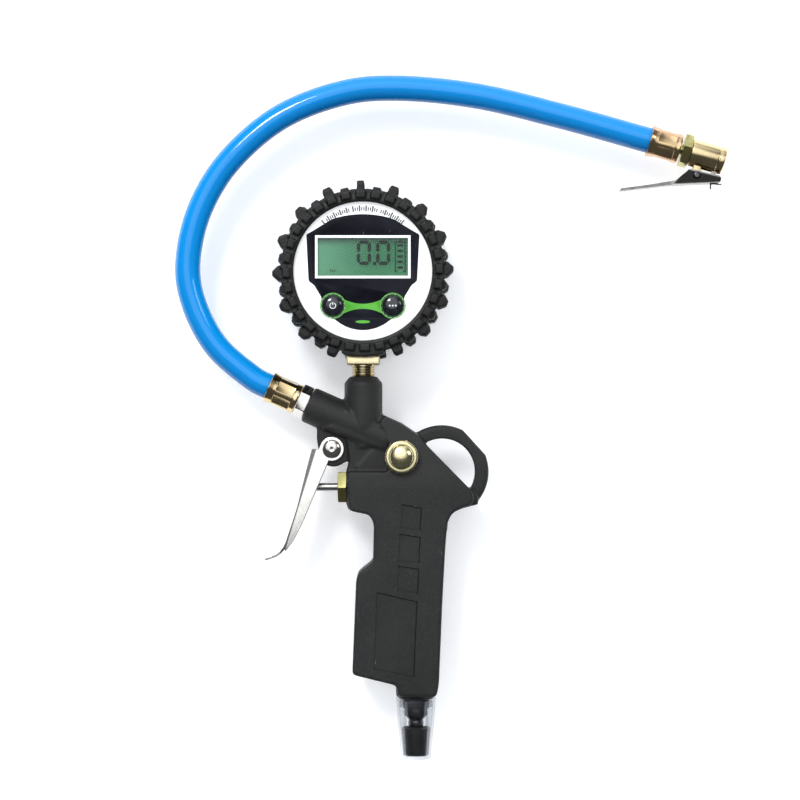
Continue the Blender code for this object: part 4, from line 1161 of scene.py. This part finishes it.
def hose_skin():
    """Glossy hose with painted light: lighter where it faces up and darker below; slight waviness, fine grain
    and handling marks.
    """
    n = paint_box("hose skin")
    # Painted light and shade: the colour goes from dark blue below to light blue on top.
    painted_top_light = n.range(n.parts(n.geometry("Normal"))["Z"], 0, 1, -0.8, 0.2)
    base = n.mix(painted_top_light, linear(2, 88, 148), linear(4, 140, 220))
    base = n.mix(n.range(n.noise(28, 3), 0, 0.15), base, linear(8, 134, 204))
    smear = n.noise(160, 5)
    base = n.mix(n.range(smear, 0, 0.06, 0.60, 0.80), base, linear(60, 150, 220))
    normal = n.bump(n.noise(60, 2), 0.05, 0.0006, n.bump(n.noise(900, 3), 0.08, 0.00005))
    return n.done(n.principled(base, n.range(smear, 0.24, 0.36), normal, Coat_Weight=1.0, Coat_Roughness=0.03,
                               Specular_IOR_Level=0.05))


def plastic(name, main, light, rough=(0.35, 0.50), strength=0.15, coat=0.0):
    """Moulded plastic: faint clouds, pale specks and a fine grain."""
    n = paint_box(name)
    base = n.mix(n.range(n.noise(90, 4), 0, 1), main, light)
    specks = n.range(n.noise(2400, 2), 0, 0.5, 0.62, 0.74)
    base = n.mix(specks, base, tuple(0.5 * (c + 0.4 * (1 - c)) for c in light[:3]) + (1,))
    normal = n.bump(n.noise(1500, 3), strength, 0.00008)
    return n.done(n.principled(base, n.range(n.noise(300, 4), *rough), normal, Coat_Weight=coat,
                               Coat_Roughness=0.05))


def printed(name, main, light, coat=0.15, rough=(0.30, 0.42), **extra):
    """Screen-printed ink under a thin overlay: mottle, fine texture and hairline wear."""
    n = paint_box(name)
    base = n.mix(n.range(n.noise(140, 5), 0, 1), main, light)
    hair = n.noise(1, 1, n.stretched((3200, 3200, 180), (0, 0.7, 0)))
    wear = n.maths('MULTIPLY', n.range(hair, 0, 0.5, 0.70, 0.80), n.range(n.noise(90, 2), 0, 1, 0.55, 0.65))
    base = n.mix(wear, base, linear(150, 150, 150))
    fine = n.noise(3000, 2)
    return n.done(n.principled(base, n.range(fine, *rough), n.bump(fine, 0.10, 0.00005), Coat_Weight=coat,
                               Coat_Roughness=0.12, **extra))


def clear_sheet(name, tint, haze, milk, shine, bump_size):
    """Clear plastic: see-through straight on, milky and bright at the rim."""
    n = paint_box(name)
    smear = n.noise(180, 4)
    normal = n.bump(smear, bump_size, 0.0003)
    through = n.node("BsdfTransparent", tint).outputs[0]
    milk_color = n.mix(n.range(smear, 0, 1), linear(236, 238, 240), linear(206, 212, 218))
    gloss = n.node("BsdfGlossy", named={"Roughness": 0.06, "Normal": normal}).outputs[0]
    facing = n.node("LayerWeight", 0.35, normal).outputs
    cloud = n.maths('ADD', n.range(facing["Facing"], haze, milk, 0.15, 0.95), n.range(smear, 0, haze))
    cloudy = n.blend(cloud, through, n.principled(milk_color, 0.35, normal))
    return n.done(n.blend(n.maths('MULTIPLY', facing["Fresnel"], shine), cloudy, gloss))


def display_glow():
    """The lit display: green, paler at its left, with a shadow under its top edge."""
    n = paint_box("display")
    place = n.parts(n.place)
    low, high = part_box("lcd_module")
    left = n.range(place["X"], 1, 0, low.x, low.x + 0.024)
    top = n.range(place["Z"], 0, 1, high.z - 0.0045, high.z - 0.0006)
    foot = n.range(place["Z"], 0.35, 0, low.z, low.z + 0.006)
    color = n.mix(left, linear(22, 94, 58), linear(78, 134, 104))
    color = n.mix(foot, color, linear(66, 142, 94))
    color = n.mix(top, color, linear(12, 48, 36))
    grain = n.noise(1800, 2)
    color = n.mix(n.range(grain, 0, 0.12), color, linear(110, 160, 132))
    return n.done(n.principled(color, 0.30, n.bump(grain, 0.05, 0.00004), Emission_Strength=0.16,
                               Emission_Color=color))


def dress(material, *objects):
    for obj in objects:
        obj.data.materials.clear()
        obj.data.materials.append(material)


def dress_nodes(material, *names):
    """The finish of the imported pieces, whose meshes stay as they are."""
    for name in names:
        for slot in frame["nodes"][name].material_slots:
            slot.material = material


# ---------------------------------------------------------------- stage, light and camera

BACKDROP_Y = 0.0222
FLOOR_Z = -0.0340


def sheet(name, corners, faces, paint):
    mesh = bpy.data.meshes.new(name)
    mesh.from_pydata(corners, [], faces)
    obj = add(name, mesh)
    dress(paint, obj)
    return obj


def matt_paint(name, color, reflected, lift_power):
    """Matt paint: dimmer in reflections, brighter straight to the camera. Gives its nodes and its shader."""
    n = paint_box(name)
    tone = n.mix(n.range(n.noise(9, 2), 0, 1), color, scaled(color, 0.985))
    paint = n.node("BsdfDiffuse", n.mix(n.ray("Glossy"), tone, scaled(color, reflected))).outputs[0]
    lift = n.node("Emission", color, n.maths('MULTIPLY', n.ray("Camera"), lift_power)).outputs[0]
    return n, n.node("AddShader", paint, lift).outputs[0]


def backdrop_paint():
    """See-through from behind and to shadow rays, so that back views are open and lit."""
    n, lit = matt_paint("backdrop paint", (0.93, 0.935, 0.95, 1), 1.0, 0.22)
    hidden = n.maths('MAXIMUM', n.geometry("Backfacing"), n.ray("Shadow"))
    return n.done(n.blend(hidden, lit, n.node("BsdfTransparent").outputs[0]))


def floor_paint():
    n, lit = matt_paint("floor paint", (0.80, 0.805, 0.81, 1), 0.06, 0)
    return n.done(lit)


def make_stage():
    """A pale floor and a pale backdrop that bends into it."""
    half_width, tall, bend_radius = 0.60, 0.75, 0.0040
    bend = arc((BACKDROP_Y - bend_radius, FLOOR_Z + bend_radius), bend_radius, -90, 0, 12)
    line = bend + [(BACKDROP_Y, tall)]
    corners = [(x, y, z) for y, z in line for x in (-half_width, half_width)]
    faces = [(2 * i, 2 * i + 1, 2 * i + 3, 2 * i + 2) for i in range(len(line) - 1)]
    backdrop = sheet("backdrop", corners, faces, backdrop_paint())
    backdrop.data.shade_smooth()
    size, level = 2.0, FLOOR_Z - 0.0001
    floor = sheet("floor", [(-size, -size, level), (size, -size, level), (size, size, level),
                            (-size, size, level)], [(0, 1, 2, 3)], floor_paint())


def softbox(name, place, target, size, power):
    light = bpy.data.lights.new(name, 'AREA')
    light.shape = 'RECTANGLE'
    light.size = size
    light.size_y = size
    light.energy = power
    obj = bpy.data.objects.new(name, light)
    bpy.context.scene.collection.objects.link(obj)
    obj.location = place
    obj.rotation_euler = (Vector(target) - Vector(place)).to_track_quat('-Z', 'Y').to_euler()


# Bright panels round the object: direction (Y counted both ways), cosines of their edges, brightness
STUDIO_PANELS = (((-0.10, 0.93, 0.34), 0.93, 0.82, 1.25),
                 ((0.00, 0.35, 0.94), 0.95, 0.82, 0.80),
                 ((0.55, 0.45, -0.70), 0.990, 0.965, 0.45))
AMBIENT = 0.93


def make_world():
    """Plain pale behind the object; dark and bright bands for the metals to reflect."""
    world = bpy.data.worlds.new("studio")
    bpy.context.scene.world = world
    n = Nodes(world, "OutputWorld", "Generated")
    way = n.parts(n.place)
    both_sides = n.node("CombineXYZ", way["X"], n.maths('ABSOLUTE', way["Y"], 0.0), way["Z"]).outputs[0]
    room = n.range(way["Z"], 0.04, 0.12, -0.4, 0.9)
    for direction, narrow, wide, power in STUDIO_PANELS:
        facing = n.node("VectorMath", both_sides, Vector(direction).normalized(), operation='DOT_PRODUCT')
        room = n.maths('ADD', room, n.range(facing.outputs["Value"], 0, power, wide, narrow))
    ambient = n.maths('MULTIPLY', n.ray("Diffuse"), AMBIENT)
    glow = n.node("Background", (0.96, 0.98, 1.0, 1), n.maths('MAXIMUM', room, ambient)).outputs[0]
    plain = n.node("Background", (0.93, 0.94, 0.95, 1), 1.0).outputs[0]
    n.done(n.blend(n.ray("Camera"), glow, plain))


def make_lights():
    centre = (0, 0, 0.16)
    softbox("key", (-0.45, -1.15, 0.95), centre, 0.30, 7.5)
    softbox("side", (0.95, -0.95, 0.65), centre, 0.40, 2.0)
    softbox("back", (0.5, 1.1, 0.9), centre, 0.6, 5.0)
    softbox("back_fill", (-0.9, 1.0, 0.3), centre, 0.5, 3.0)


def make_camera():
    lens = bpy.data.cameras.new("camera")
    lens.lens = 95.7
    lens.clip_start = 0.01
    camera = bpy.data.objects.new("camera", lens)
    bpy.context.scene.collection.objects.link(camera)
    camera.location = (-0.0075, -1.0, 0.1683)
    camera.rotation_euler = (math.radians(90), 0, 0)
    bpy.context.scene.camera = camera


# ---------------------------------------------------------------- the model

make_casting()
make_trigger()
make_valve()
make_bleed_valve()
make_inlet()
make_boot()
prints = make_prints()
segments, rim = make_display()
buttons = make_buttons()
make_stem()
make_screws()
make_hose_fitting()
make_ferrules()
make_hose()
make_chuck()
make_clip()

PIECES = bpy.data.objects
coat = powder_coat()
nickel = metal("nickel plate", (0.86, 0.83, 0.79, 1), (0.76, 0.73, 0.69, 1), rough=(0.07, 0.15), turning=0.10)
# Painted shade: a darkened copy of nickel, worn by the clip's rivet and tongue.
shaded_nickel = metal("dark nickel", (0.14, 0.14, 0.14, 1), (0.08, 0.08, 0.09, 1), 160, rough=(0.10, 0.22),
                    turning=0.12)
dark_steel = metal("dark steel", (0.16, 0.16, 0.17, 1), (0.07, 0.07, 0.08, 1), 60, rough=(0.14, 0.24),
                   spots=0.05, crevice_shade=0)
steel = metal("steel", (0.62, 0.61, 0.60, 1), (0.50, 0.49, 0.47, 1), rough=(0.18, 0.34))
pale_brass = metal("pale brass", (0.90, 0.73, 0.43, 1), (0.79, 0.61, 0.33, 1), rough=(0.10, 0.20))
gold_brass = metal("gold brass", (1.0, 0.88, 0.58, 1), (0.98, 0.80, 0.46, 1), rough=(0.08, 0.16))
cream_brass = metal("cream brass", (1.0, 0.92, 0.56, 1), (0.97, 0.86, 0.46, 1), rough=(0.14, 0.26))
green_brass = metal("green brass", (0.74, 0.68, 0.30, 1), (0.56, 0.52, 0.20, 1), rough=(0.14, 0.26))
rosy_brass = metal("rosy brass", (0.88, 0.66, 0.36, 1), (0.80, 0.48, 0.32, 1), 90, rough=(0.10, 0.22))
tread = rubber("tread rubber", linear(10, 10, 10), linear(20, 21, 21), rough=(0.45, 0.62))
seal = rubber("seal rubber", linear(8, 8, 9), linear(16, 16, 17), rough=(0.40, 0.60), grain=1200)
black = plastic("black plastic", linear(24, 25, 27), linear(36, 37, 40), rough=(0.42, 0.60), strength=0.3)
gloss = plastic("gloss button", linear(16, 18, 26), linear(24, 26, 36), rough=(0.08, 0.14), strength=0.03,
                coat=0.8)
# Painted light: the white print glows a little, though it is no lamp, to make the dial brighter.
white = printed("white print", linear(248, 249, 250), linear(240, 242, 244), Emission_Strength=0.15,
                Emission_Color=linear(250, 251, 252))
navy = printed("navy print", linear(18, 19, 28), linear(23, 25, 35), coat=0, rough=(0.5, 0.6),
               Specular_IOR_Level=0.15)
green = printed("green print", linear(72, 162, 40), linear(86, 176, 52), coat=0.02, rough=(0.45, 0.60))
deep_green = printed("deep green print", linear(38, 92, 30), linear(52, 110, 40), coat=0.02)
ink = printed("grey ink", linear(70, 72, 78), linear(88, 90, 96))
icon = printed("icon ink", linear(235, 236, 238), linear(215, 218, 222))
segment_ink = printed("segment ink", linear(16, 34, 28), linear(24, 44, 38), coat=0, rough=(0.6, 0.7))
board = plastic("solder mask", linear(20, 84, 46), linear(28, 104, 58), rough=(0.25, 0.40), coat=0.3)
jacket = plastic("battery jacket", linear(36, 62, 120), linear(50, 80, 140), rough=(0.22, 0.34), coat=0.4)
pale = plastic("light guide", linear(226, 230, 226), linear(206, 212, 208))

dress(coat, PIECES["casting"])
dress(nickel, *[PIECES[name] for name in ("rivet", "hose_hexagon")])
dress(dark_steel, PIECES["coupler_plug"])
dress(steel, PIECES["push_rod"])
dress(shaded_nickel, PIECES["clip_rivet"], PIECES["clip_tongue"])
# The lever's nickel, with a painted dark reflection along its folds.
folded_nickel = metal("folded nickel", (0.97, 0.94, 0.90, 1), (0.92, 0.89, 0.85, 1), rough=(0.07, 0.12),
                      turning=0.03, spots=0.06, dents=0.03, painted_dark_area=fold_painted_reflection)
# Painted shade: the clip's nickel is darker than the lever's, and darker still on its side plates.
shaded_clip_nickel = metal("clip nickel", (0.40, 0.38, 0.37, 1), (0.22, 0.21, 0.20, 1), 240, rough=(0.07, 0.15),
                    turning=0.10, spots=0.35, painted_dark_area=clip_side_painted_shade)
dress(folded_nickel, PIECES["lever"])
dress(shaded_clip_nickel, PIECES["clip"])
dress(steel, *[obj for obj in PIECES if obj.name.startswith("cross_")])
dress(green_brass, PIECES["gland_nut"], PIECES["chuck_hexagon"])
dress(cream_brass, PIECES["bleed_flange"], PIECES["bleed_cap"])
dress(gold_brass, PIECES["gauge_hex"])
dress(pale_brass, PIECES["chuck_barrel"], PIECES["crimp_gun"])
dress(rosy_brass, PIECES["crimp_chuck"])
dress(tread, PIECES["boot"])
dress(seal, PIECES["cap_insert"])
dress(clear_sheet("clear cap", (0.95, 0.96, 0.97, 1), 0.004, 0.12, 0.35, 0.12), PIECES["clear_cap"])
dress(hose_skin(), PIECES["air_hose"])
dress(navy, *prints["navy"])
dress(green, *prints["green"])
dress(ink, *prints["ink"])
dress(white, rim)
dress(segment_ink, segments)
for button, ring, mark in buttons:
    dress(gloss, button)
    dress(deep_green, ring)
    dress(icon, mark)

dress_nodes(white, "dial_plate")
dress_nodes(clear_sheet("display window", (1, 1, 1, 1), 0.002, 0.02, 0.12, 0.01), "lcd_window")
dress_nodes(display_glow(), "lcd_module")
dress_nodes(pale, "lcd_backlight")
dress_nodes(black, "gauge_case", "gauge_back_cover", "battery_door", "switch_on", "switch_mode")
dress_nodes(board, "circuit_board")
dress_nodes(jacket, "battery_lower", "battery_upper")
dress_nodes(seal, "gland_seal", "poppet_seal", "bleed_seal", "stem_seal", "inlet_seal_washer", "chuck_seal")
dress_nodes(steel, "valve_spring", "bleed_spring", "clip_spring", "battery_contact_left",
            "battery_contact_right", "pressure_sensor")
dress_nodes(pale_brass, "valve_seat_insert", "valve_poppet", "bleed_stem", "stem_nut", "chuck_pin")

make_stage()
make_world()
make_lights()
make_camera()
bpy.context.scene.view_settings.view_transform = 'Standard'
